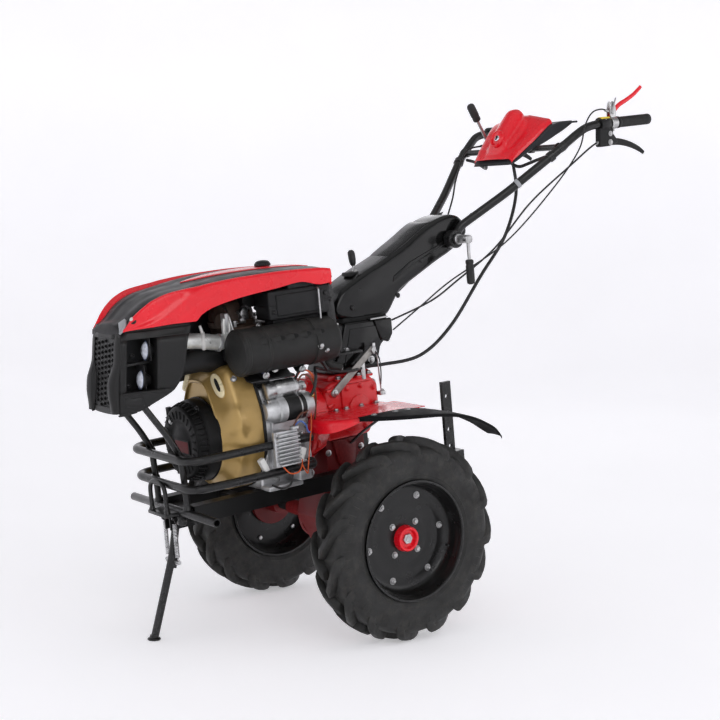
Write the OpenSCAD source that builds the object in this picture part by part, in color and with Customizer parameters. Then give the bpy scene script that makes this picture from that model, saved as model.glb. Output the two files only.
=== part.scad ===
// Walk-behind two-wheel power weeder with a single-cylinder diesel engine.
// Parked: both wheels and the front stand on the ground, nose leaning down.
// Machine coordinates: X forward, Y to the machine's left, Z up, zero on the
// axle centre; parked() leans them and lifts them onto the ground.

/* [Stance] */
// nose-down lean as it parks, degrees
lean = 7; // [5:0.5:8]
// radius over the tyre lugs
tyre_r = 270; // [262:1:278]

/* [Wheels] */
// half of the distance between the tyre centres
half_track = 334; // [328:1:340]
// radius of the rim barrel under the bead
rim_r = 152; // [146:1:156]
// radius of the six rim bolts
rim_bolt_r = 117; // [105:1:125]
// radius of the drive shafts
shaft_r = 16; // [14:0.5:18]
// radial running clearance of shafts and pins
fit = 0.05; // [0.02:0.01:0.1]

/* [Engine] */
// height of the crankshaft over the axle
crank_z = 300; // [290:1:310]
// radius of the recoil starter
recoil_r = 112; // [100:1:118]
// radius of the silencer drum
muffler_r = 60; // [52:1:62]
// silencer drum: sideways place
muffler_y = 136; // [130:1:140]
// silencer drum: height over the axle
muffler_z = 528; // [520:1:536]

/* [Front guard] */
// half width of the two guard loops
guard_w = 165; // [160:1:175]
// radius of the guard tubes
guard_r = 11; // [9:0.5:12]
// front cross tube, forward of the axle
cross_x = 490; // [485:1:495]
// front cross tube, height over the axle
cross_z = 131; // [126:1:136]
// half length of the front cross tube
cross_w = 230; // [215:1:240]

/* [Front stand] */
// stand pivot, forward of the axle
stand_x = 486; // [480:1:490]
// stand pivot, height over the axle
stand_z = 96; // [92:1:100]
// stand foot, forward of the axle
foot_x = 586; // [560:1:600]

/* [Handlebar] */
// tilt pivot, forward of the axle
tilt_x = -450; // [-460:1:-440]
// tilt pivot, height over the axle
tilt_z = 738; // [730:1:745]
// radius of the handlebar tubes
bar_r = 12.5; // [11:0.5:14]
// half distance between the grips
grip_y = 250; // [230:1:270]
// radius of the grips
grip_r = 16; // [14.5:0.5:18]

/* [Hidden] */
$fn = 48;

// nose levels from the bottom, columns: z, front x, front half width, cheek x, cheek half width, rear x, rear half width,
// x of the lamp pocket's rear wall or 0, lift of the inner skin
NOSE = [[421, 657, 66, 650, 82, 604, 101, 0, 0], [437, 655, 66, 648, 82, 570, 114, 0, 0], [464, 651.5, 65, 644.5, 81, 520, 132, 0, -4],
  [470, 650.7, 65, 643.7, 81, 514, 134, 556, -4], [503, 646, 64.5, 639, 80.5, 492, 140, 552, 0], [540, 641, 64, 634, 80, 482, 141, 549, 0],
  [600, 632, 63, 625, 79, 463, 136, 541, 4], [606, 630.5, 63, 623.5, 79, 458, 133, 0, 4], [618, 626, 62, 619, 77, 452, 129, 0, 0]];
nose_x = 657; nose_z = 421;
// grip: start, height and length
grip_x = -954; grip_z = 1028.5; grip_len = 132;
// axle to the middle of the overall length, from the nose and the grips' ends
front_reach = nose_x * cos(lean) + nose_z * sin(lean);
rear_reach = (grip_x - grip_len * cos(1) - grip_r * sin(1)) * cos(lean)
  + (grip_z + grip_len * sin(1) - grip_r * cos(1)) * sin(lean);
mid_x = -(front_reach + rear_reach) / 2;

red = [0.74, 0.06, 0.07];
dark_red = [0.5, 0.04, 0.05];
black = [0.08, 0.08, 0.085];
grey = [0.25, 0.25, 0.26];
silver = [0.72, 0.72, 0.7];
gold = [0.72, 0.57, 0.28];

// ---- frames and shape helpers ----
module parked() translate([mid_x, 0, tyre_r]) rotate([0, lean, 0]) children();
// a side outline (x, z) made w wide about the middle plane
module plate(w) rotate([90, 0, 0]) linear_extrude(w, center = true) children();
// local Z turned to point left (+Y) or forward (+X)
module to_y() rotate([-90, 0, 0]) children();
module to_x() rotate([0, 90, 0]) children();
module both() { children(); mirror([0, 1, 0]) children(); }
// solid of revolution about Y at the left wheel
module left_wheel_place() translate([0, half_track, 0]) to_y() children();

// loft through rings of equal length, ends closed; a shell's rings run along
// the outer skin and back along the inner one
module skin(rings, shell = false) {
  n = len(rings[0]); m = len(rings);
  cap = shell ? [for (i = [0:n / 2 - 2]) [i, i + 1, n - 2 - i, n - 1 - i]] : [[for (i = [0:n - 1]) i]];
  polyhedron([for (r = rings) each r], concat(
    cap,
    [for (j = [0:m - 2]) for (i = [0:n - 1]) [j * n + i, (j + 1) * n + i, (j + 1) * n + (i + 1) % n]],
    [for (j = [0:m - 2]) for (i = [0:n - 1]) [j * n + i, (j + 1) * n + (i + 1) % n, j * n + (i + 1) % n]],
    [for (f = cap) [for (k = [len(f) - 1:-1:0]) (m - 1) * n + f[k]]]));
}
function unit(v) = v / norm(v);
// each inner corner of a route replaced by a curve of k points that starts c away
function rounded(p, c, k) = [p[0], for (i = [1:len(p) - 2])
  let (a = p[i] + unit(p[i - 1] - p[i]) * c, b = p[i] + unit(p[i + 1] - p[i]) * c)
  for (j = [0:k - 1]) let (t = j / (k - 1)) a * (1 - t) * (1 - t) + p[i] * 2 * t * (1 - t) + b * t * t,
  p[len(p) - 1]];
// points along a smooth curve through a route, k per leg
function through(p, k) = [for (i = [0:len(p) - 2]) for (j = [0:k - 1])
  let (t = j / k, a = p[max(i - 1, 0)], b = p[i], c = p[i + 1], d = p[min(i + 2, len(p) - 1)])
  (b * 2 + (c - a) * t + (a * 2 - b * 5 + c * 4 - d) * t * t + (b * 3 - a - c * 3 + d) * t * t * t) / 2,
  p[len(p) - 1]];
// round tube of radius r along a route; up is never along the route
module tube(p, r, sides, up) {
  m = len(p);
  skin([for (i = [0:m - 1])
    let (t = unit(p[min(i + 1, m - 1)] - p[max(i - 1, 0)]), u = unit(cross(t, up)), v = cross(t, u))
    [for (k = [0:sides - 1]) p[i] + (u * cos(360 * k / sides) + v * sin(360 * k / sides)) * r]]);
}

// ---- engine ----
block_x0 = 110; block_x1 = 280; block_w = 105; block_z0 = 150; block_z1 = 420;
module engine_block() color(silver) parked() {
  translate([block_x0, -block_w, block_z0]) cube([block_x1 - block_x0, 2 * block_w, block_z1 - block_z0]);
  translate([block_x0 + 60, -140, block_z0]) cube([108, 280, 14]);
}

head_x = 222; head_w = 64; fin_count = 8;
module cylinder_head() color(grey) parked() {
  translate([head_x, 0, block_z1]) cylinder(r = 52, h = 130);
  for (i = [0:fin_count - 1]) translate([head_x - 75, -head_w, block_z1 + 14 + 14 * i]) cube([130, 2 * head_w, 5]);
  translate([head_x - 75, -head_w, block_z1 + 126]) cube([150, 2 * head_w, 40]);
  translate([head_x - 55, -46, block_z1 + 166]) cube([110, 92, 46]);
}

// shroud sections from the block forward, columns: x, radius, top, half width at the top
SHROUD = [[280.2, 146, 490, 94], [330, 146, 492, 92], [362, 136, 482, 84], [384, 118, 452, 60]];
function shroud_ring(s) = concat(
  [for (a = [180:15:360]) [s[0], s[1] * cos(a), crank_z + s[1] * sin(a)]],
  [[s[0], s[1], crank_z + 60], [s[0], s[3], s[2] - 12], [s[0], s[3] - 22, s[2]],
   [s[0], -s[3] + 22, s[2]], [s[0], -s[3], s[2] - 12], [s[0], -s[1], crank_z + 60]]);
module fan_shroud() color(gold) parked() skin([for (s = SHROUD) shroud_ring(s)]);

module recoil_starter() color(black) parked() translate([384.2, 0, crank_z]) to_x() {
  cylinder(r = recoil_r, h = 34);
  translate([0, 0, 34]) cylinder(r1 = recoil_r, r2 = 92, h = 30);
}

muffler_x0 = 36; muffler_x1 = 344;
module muffler() color(black) parked() {
  translate([muffler_x0, muffler_y, muffler_z]) to_x() rotate_extrude()
    polygon([[0, 0], [muffler_r - 14, 0], [muffler_r, 14], [muffler_r, 274], [muffler_r - 6, 292],
      [muffler_r - 24, 306], [0, muffler_x1 - muffler_x0]]);
  // exhaust port from the cylinder head
  translate([head_x, head_w + 0.1, muffler_z + 30]) to_y() cylinder(r = 17, h = muffler_y - head_w - 20);
}

cleaner_x0 = 36; cleaner_x1 = 226; cleaner_z0 = 596; cleaner_z1 = 672;
module air_cleaner() color(black) parked() {
  difference() {
    translate([cleaner_x0, 66, cleaner_z0]) cube([cleaner_x1 - cleaner_x0, 80, cleaner_z1 - cleaner_z0]);
    translate([cleaner_x0 + 26, 132, cleaner_z0 + 12]) cube([138, 20, cleaner_z1 - cleaner_z0 - 24]);
  }
}

starter_y = 146; starter_z = 365;
module starter_motor() color(silver) parked() {
  translate([block_x0 + 24, starter_y, starter_z]) to_x() cylinder(r = 35, h = 144);
  translate([block_x0 + 58, starter_y - 8, starter_z + 52]) to_x() cylinder(r = 25, h = 98);
  translate([block_x0 + 70, block_w, starter_z - 20]) cube([60, 34, 62]);
}

module regulator() color(silver) parked() difference() {
  translate([198, guard_w + guard_r, 208]) cube([80, 28, 106]);
  for (i = [0:6]) translate([190, guard_w + guard_r + 12, 218 + 13 * i]) cube([96, 20, 7]);
}

// ---- tank, hood and nose ----
cap_x = 150; tank_z0 = 632; tank_z1 = 706;
module fuel_tank() color(black) parked() {
  translate([60, -125, tank_z0]) cube([190, 185, tank_z1 - tank_z0]);
  translate([cap_x, 0, tank_z1]) cylinder(r = 9, h = 743 - tank_z1);
  // stay that carries the hood
  translate([250, -60, tank_z0]) cube([6, 120, 90]);
}
module fuel_cap() color(black) parked() translate([cap_x, 0, 743]) {
  cylinder(r = 30, h = 9);
  translate([0, 0, 9]) cylinder(r1 = 26, r2 = 18, h = 5);
}

// hood stations from the rear, columns: x, half width, lower edge, ridge, crown
HOOD = [[30, 148, 676, 712, 722], [62, 149, 674, 717, 728], [130, 150, 688, 721, 733],
  [200, 150, 681, 723, 735], [300, 149, 672, 722, 735], [390, 145, 656, 717, 732],
  [426, 141, 640, 713, 729], [440, 139, 627, 712, 727], [495, 129, 628, 706, 720],
  [540, 117, 627, 691, 706], [571, 108, 626, 673, 690], [600, 95, 624, 652, 667], [618, 86, 621, 641, 648]];
hood_t = 4;
// outer skin from the left lower edge over the crown, then the inner skin back
function hood_half(s, d) = [[s[1] - d, s[2]], [s[1] + 2 - d, s[3] - 14], [s[1] - 8 - d, s[3] - d],
  [s[1] * 0.6, (s[3] + 2 * s[4]) / 3 - d]];
function hood_ring(s) = let (o = hood_half(s, 0), i = hood_half(s, hood_t)) [
  for (p = o) [s[0], p[0], p[1]], [s[0], 0, s[4]], for (k = [3:-1:0]) [s[0], -o[k][0], o[k][1]],
  for (p = i) [s[0], -p[0], p[1]], [s[0], 0, s[4] - hood_t], for (k = [3:-1:0]) [s[0], i[k][0], i[k][1]]];
module hood_cover() color(red) parked() difference() {
  skin([for (s = HOOD) hood_ring(s)], true);
  translate([cap_x, 0, 690]) cylinder(r = 12, h = 80);
}

// centre band stations, columns: x, half width
BAND = [[34, 130], [62, 131], [130, 132], [200, 132], [300, 131], [390, 127], [426, 123], [440, 121], [495, 112],
  [540, 100], [571, 91], [600, 79], [612, 72]];
band_gap = 2.6; band_t = 4.5;
function at_x(x, c) = let (k = [for (i = [0:len(HOOD) - 2]) if (HOOD[i][0] <= x && x <= HOOD[i + 1][0]) i][0],
  t = (x - HOOD[k][0]) / (HOOD[k + 1][0] - HOOD[k][0])) HOOD[k][c] * (1 - t) + HOOD[k + 1][c] * t;
// the hood's own skin line out to the band's edge, lifted by d
function band_half(x, w, d) = let (h = at_x(x, 1), r = at_x(x, 3), c = at_x(x, 4), m = (r + 2 * c) / 3,
  t = (w - 0.6 * h) / (0.4 * h - 8)) [[w, m + (r - m) * t + d], [0.6 * h, m + d], [0, c + d]];
function band_ring(x, w) = let (o = band_half(x, w, band_gap + band_t), i = band_half(x, w, band_gap)) [
  for (p = o) [x, p[0], p[1]], for (k = [1:-1:0]) [x, -o[k][0], o[k][1]],
  for (k = [0:2]) [x, -i[k][0], i[k][1]], for (k = [1:-1:0]) [x, i[k][0], i[k][1]]];
module hood_band() color(black) parked() difference() {
  skin([for (b = BAND) band_ring(b[0], b[1])], true);
  translate([cap_x, 0, 690]) cylinder(r = 12, h = 80);
}
// upright straps and top plate behind the hood
module hood_bracket() color(black) parked() {
  both() {
    translate([-4, 128, 472]) cube([32, 8, 224]);
    translate([-60, column_w + 0.2, 472]) cube([88, 78 - 0.2, 8]);
  }
  translate([-4, -136, 688]) cube([48, 272, 8]);
}

// lamp pocket: its inner side, the strip left behind the cheek, and the lean of its rear wall
nose_t = 5; pocket_y = 57; pocket_strip = 16; pocket_lean = 8;
function flank(s, x) = s[6] + (s[4] - s[6]) * (x - s[5]) / (s[3] - s[5]);
function flank_at(s, t) = [s[5] + (s[3] - s[5]) * t, s[6] + (s[4] - s[6]) * t];
// left side from the rear edge to the front: rear, four pocket corners, cheek, front
function nose_outer(s) = let (a = s[7], d = s[3] - pocket_strip) [[s[5], s[6]],
  each a == 0 ? [for (t = [0.35, 0.45, 0.75, 0.85]) flank_at(s, t)]
    : [[a, flank(s, a)], [a + 2, pocket_y], [d, pocket_y + 2], [d, flank(s, d)]],
  [s[3], s[4]], [s[1], s[2]]];
function nose_inner(s) = let (a = s[7], d = s[3] - pocket_strip) [[s[5], s[6] - nose_t],
  each a == 0 ? [for (t = [0.35, 0.45, 0.75, 0.85]) flank_at(s, t) - [0, nose_t]]
    : [[a - 5, flank(s, a) - 4], [a - 3, pocket_y - nose_t], [d + 4, pocket_y + 2 - nose_t], [d + 4, flank(s, d) - nose_t]],
  [s[3] - nose_t, s[4] - nose_t * 0.6], [s[1] - nose_t, s[2] - nose_t * 0.5]];
function nose_ring(s) = let (o = nose_outer(s), i = nose_inner(s)) [
  for (p = o) [p[0], p[1], s[0]], for (k = [6:-1:0]) [o[k][0], -o[k][1], s[0]],
  for (p = i) [p[0], -p[1], s[0] + s[8]], for (k = [6:-1:0]) [i[k][0], i[k][1], s[0] + s[8]]];
module front_fairing() color(black) parked() skin([for (s = NOSE) nose_ring(s)], true);
// side outline (x, z) drawn from y0 to y1
module slab(y0, y1) translate([0, (y0 + y1) / 2, 0]) plate(y1 - y0) children();

// lamps, columns: x, y, z of the rear face, length
LAMPS = [[558, 84, 493, 28], [550, 84, 566, 15]];
lamp_r = 24;
module headlights() color(silver) parked() both() for (l = LAMPS) translate([l[0], l[1], l[2]]) rotate([0, 90 - pocket_lean, 0])
  translate([0, 0, 1]) cylinder(r = lamp_r, h = l[3]);

// ---- front guard and frame ----
// loop heights and front places, columns: z, front x
GUARD = [[280, 516], [206, 512]];
function loop_route(g) = rounded([[150, guard_w, g[0]], [g[1], guard_w, g[0]], [g[1], -guard_w, g[0]],
  [150, -guard_w, g[0]]], 55, 6);
module guard_loop(g) {
  tube(loop_route(g), guard_r, 16, [0, 0, 1]);
  both() translate([156, block_w, g[0] - 10]) cube([24, guard_w - block_w - 8, 20]);
}
module upper_guard() color(black) parked() guard_loop(GUARD[0]);
module lower_guard() color(black) parked() guard_loop(GUARD[1]);
post_y = 80; post_r = 8.5;
module guard_posts() color(black) parked() {
  both() tube(rounded([[cross_x, post_y, cross_z + guard_r + 0.4], [491, post_y, 206], [495.5, post_y, 284], [522, post_y, 335],
    [581, post_y, 427]], 14, 4), post_r, 12, [0, 1, 0]);
  // tray that carries the nose
  translate([560, -74, 424]) cube([78, 148, 6]);
  translate([630, -40, 424]) cube([19.4, 80, 6]);
  // upright hoop over the stand
  tube(rounded([[530, 42, cross_z + 2.2], [530, 42, 214], [530, -42, 214], [530, -42, cross_z + 2.2]], 30, 6), 6, 12, [1, 0, 0]);
}
module cross_tube() color(black) parked() {
  translate([cross_x, -cross_w, cross_z]) to_y() cylinder(r = guard_r, h = 2 * cross_w);
  translate([cross_x + 6, -50, cross_z - 8]) cube([44, 100, 10]);
}
rail_y = 62; rail_w = 36; rail_z0 = 92; rail_z1 = 150; rail_x0 = -20;
module engine_frame() color(dark_red) parked() difference() {
  union() {
    both() translate([rail_x0, rail_y, rail_z0 + 12]) cube([cross_x - guard_r - rail_x0, rail_w, rail_z1 - rail_z0 - 12]);
    for (x = [120, 290, 440]) translate([x, -rail_y - 1, rail_z0 + 22]) cube([30, 2 * rail_y + 2, 20]);
    // lugs of the stand pivot
    both() translate([440, 11, stand_z - 16]) cube([72, 5, 39]);
    // bar that holds the springs' upper ends
    translate([505, -36, 112]) to_y() cylinder(r = 5, h = 72);
  }
  translate([stand_x, -20, stand_z]) to_y() cylinder(r = 7, h = 40);
}

// ---- drive line ----
module clutch_housing() color(red) parked() {
  translate([42, 0, crank_z]) to_x() cylinder(r1 = 100, r2 = 116, h = 56);
  translate([98, 0, crank_z]) to_x() cylinder(r = 124, h = 12);
}
case_w = 84;
module gearbox_case() color(red) parked() {
  plate(2 * case_w) polygon([[-136, 300], [-136, 372], [-112, 396], [20, 396], [42, 380], [42, 236], [-96, 236]]);
  translate([-128, -60, 396]) cube([140, 120, 14]);
  // clip of the wiring loom
  translate([-99.6, 64, 386]) cube([16, 22, 48]);
}
final_w = 62;
module final_drive_case() color(dark_red) parked() difference() {
  union() {
    plate(2 * final_w) polygon([[-88, 235.8], [40, 235.8], [40, 150], [76, 20], [40, -62], [-40, -62], [-76, 20], [-88, 110]]);
    translate([0, -110, 0]) to_y() cylinder(r = 46, h = 220);
  }
  both() translate([0, 30, 0]) to_y() cylinder(r = shaft_r + fit, h = 100);
}
arm_y = case_w + 6;
module shift_arm() color(silver) parked() {
  translate([16, arm_y, 368]) rotate([0, -53, 0]) translate([-8, 0, -9]) cube([16, 6, 190]);
  translate([16, case_w, 368]) to_y() cylinder(r = 15, h = 16);
}

// ---- mudguards ----
fender_y0 = 128; fender_seam = 268; fender_y1 = 400; fender_z = 320; sheet = 3; lip = 32;
// front edge of the panel, columns: x, y
LIP = [[132, 128], [126, 172], [108, 218], [78, 252], [44, 268]];
module fender_panel() {
  translate([0, 0, fender_z - sheet]) linear_extrude(sheet) polygon(concat([[-156, fender_seam], [-156, fender_y0]], LIP));
  translate([0, 0, fender_z - lip]) linear_extrude(lip - 1) polygon(concat(LIP, [for (i = [len(LIP) - 1:-1:0]) LIP[i] - [sheet + 1, 1]]));
  // tongue onto the gearbox
  translate([-130, case_w, fender_z - sheet]) cube([168, fender_y0 - case_w + 1, sheet]);
}
// wing stations from the front, columns: x, top z, inner y, outer y
WING = [[64, 326, 262, 270], [40, 326, 262, 300], [-40, 326, 262, 372], [-90, 324, 262, 394], [-100, 323, 268.4, 397], [-160, 312, 270, 400],
  [-230, 288, 280, 400], [-285, 255, 300, 398], [-314, 224, 330, 390]];
function wing_ring(s) = [[s[0], s[2], s[1]], [s[0], s[3], s[1]], [s[0], s[3], s[1] - 11], [s[0], s[3] - 3, s[1] - 11],
  [s[0], s[3] - 3, s[1] - sheet], [s[0], s[2], s[1] - sheet]];
module fender_wing() skin([for (s = WING) wing_ring(s)]);
module left_fender() color(red) parked() fender_panel();
module left_fender_wing() color(black) parked() fender_wing();
module right_fender() color(red) parked() mirror([0, 1, 0]) fender_panel();
module right_fender_wing() color(black) parked() mirror([0, 1, 0]) fender_wing();

// ---- hitch ----
drag_x = -436; drag_w = 32; drag_t = 12; drag_top = 318; pin_z = 74;
module hitch_arm() color(black) parked() difference() {
  union() {
    translate([-410, -24, pin_z - 24]) cube([310, 48, 48]);
    translate([drag_x - 26, -34, pin_z - 38]) cube([56, 68, 76]);
    translate([-110, -50, pin_z - 26]) cube([21.8, 100, 182]);
  }
  translate([drag_x, -60, pin_z]) to_y() cylinder(r = 6.5, h = 120);
  translate([drag_x - drag_w / 2 - 0.5, -drag_t / 2 - 0.5, pin_z - 74]) cube([drag_w + 1, drag_t + 1, 160]);
}
module drag_bar() color(black) parked() difference() {
  translate([drag_x - drag_w / 2, -drag_t / 2, -110]) cube([drag_w, drag_t, drag_top + 110]);
  for (i = [0:7]) translate([drag_x, -20, pin_z + 200 - 50 * i]) to_y() cylinder(r = 7, h = 40);
}

// ---- steering column ----
column_w = 58;
module column_base() color(black) parked() {
  plate(2 * column_w) polygon([[-156, 410.2], [4, 410.2], [-30, 470], [-56, 549], [-206, 545], [-208, 500], [-172, 470]]);
  // blocks that the cables end in
  both() translate([-211.6, column_w - 1, 494]) cube([34, 24, 54]);
}
module column_cover() color(black) parked() difference() {
  plate(2 * column_w) polygon([[-54, 552], [-32, 582], [-66, 638], [-144, 676], [-290, 734], [-381, 786], [-452, 808],
    [-492, 802], [-518, 772], [-520, 745], [-452, 698], [-408, 682], [-262, 612], [-224, 560], [-210, 548]]);
  translate([tilt_x, -100, tilt_z]) to_y() cylinder(r = 10.05, h = 200);
  // lever slot on the crown
  translate([-160, -10, 640]) cube([30, 20, 60]);
}
module column_lever() color(silver) parked() {
  translate([-150, 0, 641]) rotate([0, 6, 0]) cylinder(r = 4, h = 60);
  translate([-144, 0, 700]) rotate([0, 6, 0]) cylinder(r = 10, h = 40);
}

// ---- wheels ----
// tyre section, columns: radius, offset from the wheel's middle
TYRE = [[rim_r + 1, -43], [rim_r + 10, -52], [190, -57], [236, -56], [tyre_r - 11, -50], [tyre_r, -34]];
module tyre() left_wheel_place() rotate_extrude()
  polygon(concat(TYRE, [for (i = [len(TYRE) - 1:-1:0]) [TYRE[i][0], -TYRE[i][1]]]));
module rim() left_wheel_place() difference() {
  union() {
    rotate_extrude() polygon([[rim_r - 8, -57], [rim_r + 7, -57], [rim_r + 7, -52], [rim_r + 0.7, -44], [rim_r + 0.7, 44],
      [rim_r + 7, 52], [rim_r + 7, 57], [rim_r - 8, 57]]);
    rotate_extrude() polygon([[32, -4], [rim_r - 4, -4], [rim_r - 4, 4], [32, 4]]);
  }
  for (i = [0:5]) rotate([0, 0, i * 60 + 5]) translate([rim_bolt_r, 0, -10]) cylinder(r = 6, h = 20);
}
module hub() left_wheel_place() {
  translate([0, 0, 40 - half_track]) cylinder(r = shaft_r, h = half_track - 20);
  translate([0, 0, -70]) cylinder(r = 31, h = 92);
  translate([0, 0, -14]) cylinder(r = 70, h = 9.8);
}
module left_tyre() color(black) parked() tyre();
module left_rim() color(black) parked() rim();
module left_hub() color(red) parked() hub();
module right_tyre() color(black) parked() mirror([0, 1, 0]) tyre();
module right_rim() color(black) parked() mirror([0, 1, 0]) rim();
module right_hub() color(red) parked() mirror([0, 1, 0]) hub();

// ---- front stand ----
foot_z = (foot_x * sin(lean) - tyre_r) / cos(lean);
knee = [508, 8]; spring_top = [505, 112]; spring_low = [507, -5]; spring_y = 27;
module front_stand() color(black) parked() {
  translate([stand_x, -10.5, stand_z]) to_y() cylinder(r = 14, h = 21);
  translate([stand_x, -18, stand_z]) to_y() cylinder(r = 7 - fit, h = 36);
  tube(rounded([[stand_x, 0, stand_z], [knee[0], 0, knee[1]], [foot_x - 2, 0, foot_z + 4]], 24, 5), 10.4, 16, [0, 1, 0]);
  translate([spring_low[0], -36, spring_low[1]]) to_y() cylinder(r = 5, h = 72);
  translate([foot_x, 0, foot_z]) rotate([0, -lean, 0]) translate([-20, -18, 0]) cube([40, 36, 6]);
}
// springs from the frame's bar to the pin on the leg
spring_d = spring_low - spring_top;
module stand_springs() color(silver) parked() both() translate([spring_top[0], spring_y, spring_top[1]])
  rotate([0, 180 - atan2(spring_d[0], -spring_d[1]), 0]) translate([0, 0, 5.4]) cylinder(r = 6.5, h = norm(spring_d) - 10.8);

// ---- handlebar ----
// left bar route, columns: x, y, z
BAR = [[tilt_x - 6, 76, tilt_z + 6], [-478, 76, 772], [-605, 144, 857], [-731, 215, 954], [-796, 236, 1000], [-828, 247, 1020],
  [-862, grip_y, 1026.9], [-1080, grip_y, 1030.7]];
module bar() {
  tube(rounded(BAR, 13, 4), bar_r, 16, [0, 1, 0.2]);
  translate([tilt_x, 60.5, tilt_z]) to_y() cylinder(r = 26, h = 30);
}
module left_bar() color(black) parked() bar();
module right_bar() color(black) parked() mirror([0, 1, 0]) bar();
module bar_brace() color(black) parked() {
  translate([-757, -207, 972.4]) to_y() cylinder(r = 9, h = 414);
  translate([tilt_x, -60.4, tilt_z]) to_y() cylinder(r = 10, h = 120.8);
}
module grip() translate([grip_x, grip_y, grip_z]) rotate([0, -89, 0]) difference() {
  cylinder(r = grip_r, h = grip_len);
  translate([0, 0, -1]) cylinder(r = bar_r + 0.3, h = grip_len - 1);
}
module left_grip() color(black) parked() grip();
module right_grip() color(black) parked() mirror([0, 1, 0]) grip();

// console cover stations from the front, columns: x, half width, low z, top z, hump half width, hump z
CONSOLE = [[-684, 88, 943, 954, 40, 955], [-692, 91, 950, 965, 40, 967], [-703, 95, 958, 977, 40, 1010], [-730, 105, 980, 999, 42, 1046],
  [-750, 113, 996, 1015, 42, 1070], [-776, 121, 1018, 1037, 42, 1092], [-800, 126, 1037, 1053, 42, 1095], [-812, 127, 1043, 1057, 40, 1084]];
function console_ring(s) = [[s[0], -s[1], s[2]], [s[0], 3 - s[1], s[3]], [s[0], -s[4] - 14, s[3] + 1], [s[0], -s[4], s[5]],
  [s[0], s[4], s[5]], [s[0], s[4] + 14, s[3] + 1], [s[0], s[1] - 3, s[3]], [s[0], s[1], s[2]]];
module console_cover() color(red) parked() skin([for (s = CONSOLE) console_ring(s)]);
// console base stations from the front, columns: x, half width, low z, top z
BASE = [[-678, 84, 926, 936], [-684, 86, 928, 941], [-700, 92, 938, 954], [-730, 105, 966, 978], [-750, 114, 982, 994], [-776, 126, 998, 1016],
  [-800, 134, 1014, 1035], [-815, 136, 1020, 1040], [-846, 140, 1030, 1045], [-872, 148, 1034, 1046]];
module console_base() color(black) parked() {
  skin([for (s = BASE) [[s[0], -s[1], s[2]], [s[0], -s[1], s[3]], [s[0], s[1], s[3]], [s[0], s[1], s[2]]]]);
  // saddles on the cross brace
  both() translate([-766, 60, 981.6]) cube([18, 24, 10]);
  // ear of the gear lever
  translate([-772, -138, 988]) cube([20, 40, 8]);
}
module ring_clamp(x, r, h) translate([x, grip_y, grip_z + (grip_x - x) * tan(1)]) rotate([0, -89, 0]) difference() {
  cylinder(r = r, h = h);
  translate([0, 0, -1]) cylinder(r = bar_r + 0.3, h = h + 2);
}
module lever() {
  ring_clamp(-880, 19, 38);
  slab(grip_y - 10, grip_y + 10) polygon([[-916, 958], [-880, 958], [-880, 1012], [-916, 1012]]);
  slab(grip_y - 6, grip_y + 6) polygon([[-912, 984], [-992, 970], [-1050, 943], [-1062, 930], [-1052, 930], [-992, 957], [-912, 962]]);
}
module left_lever() color(black) parked() lever();
module right_lever() color(black) parked() mirror([0, 1, 0]) lever();
module throttle_lever() color(red) parked() {
  ring_clamp(-924, 18, 24);
  slab(grip_y - 6, grip_y + 6) polygon([[-924, 1042], [-938, 1042], [-938, 1070], [-924, 1070]]);
  slab(grip_y - 4, grip_y + 4) polygon([[-926, 1042], [-946, 1042], [-966, 1068], [-1010, 1088], [-1064, 1118], [-1060, 1128], [-1004, 1100],
    [-956, 1082]]);
}
module gear_lever() color(black) parked() translate([-761, -129, 1000]) rotate([0, 27, 0]) {
  cylinder(r = 5, h = 90);
  translate([0, 0, 80]) cylinder(r = 10, h = 50);
}
// clamp bolt of the tilt joint with its hanging grip
module clamp_handle() color(silver) parked() {
  translate([tilt_x, 90.8, tilt_z]) to_y() cylinder(r = 11, h = 56);
  translate([tilt_x, 140, 676]) cylinder(r = 5, h = 66);
  translate([tilt_x, 140, 608]) cylinder(r = 10, h = 72);
}

// ---- cables ----
// routes, columns: x, y, z
CLUTCH_ROUTE = [[-876, 250, 977], [-840, 250, 962], [-776, 238, 920], [-655, 186, 822], [-554, 130, 700], [-430, 104, 622], [-340, 90, 574],
  [-212, 70, 536]];
THROTTLE_ROUTE = [[-919, 250, 1064], [-892, 252, 1070], [-850, 258, 1062], [-812, 266, 1028], [-780, 264, 956], [-700, 226, 850], [-570, 162, 716],
  [-400, 112, 625], [-300, 96, 566], [-212, 72, 508]];
GEAR_ROUTE = [[-747, -128, 992], [-690, -134, 978], [-640, -128, 900], [-600, -112, 826], [-520, -96, 716], [-380, -88, 606], [-212, -70, 530]];
LOOM_ROUTE = [[-716, 50, 940], [-703, 70, 845], [-619, 105, 730], [-500, 125, 627], [-378, 122, 498], [-270, 112, 430], [-155, 88, 420], [-100, 76, 424]];
module clutch_cable() color(black) parked() tube(through(CLUTCH_ROUTE, 3), 3.5, 8, [0.1, 1, 0]);
module throttle_cable() color(black) parked() tube(through(THROTTLE_ROUTE, 3), 3, 8, [0.1, 1, 0]);
module gear_cable() color(black) parked() tube(through(GEAR_ROUTE, 3), 3.5, 8, [0.1, 1, 0]);
module wiring_loom() color(black) parked() tube(through(LOOM_ROUTE, 3), 5, 10, [0.1, 1, 0]);

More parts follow.
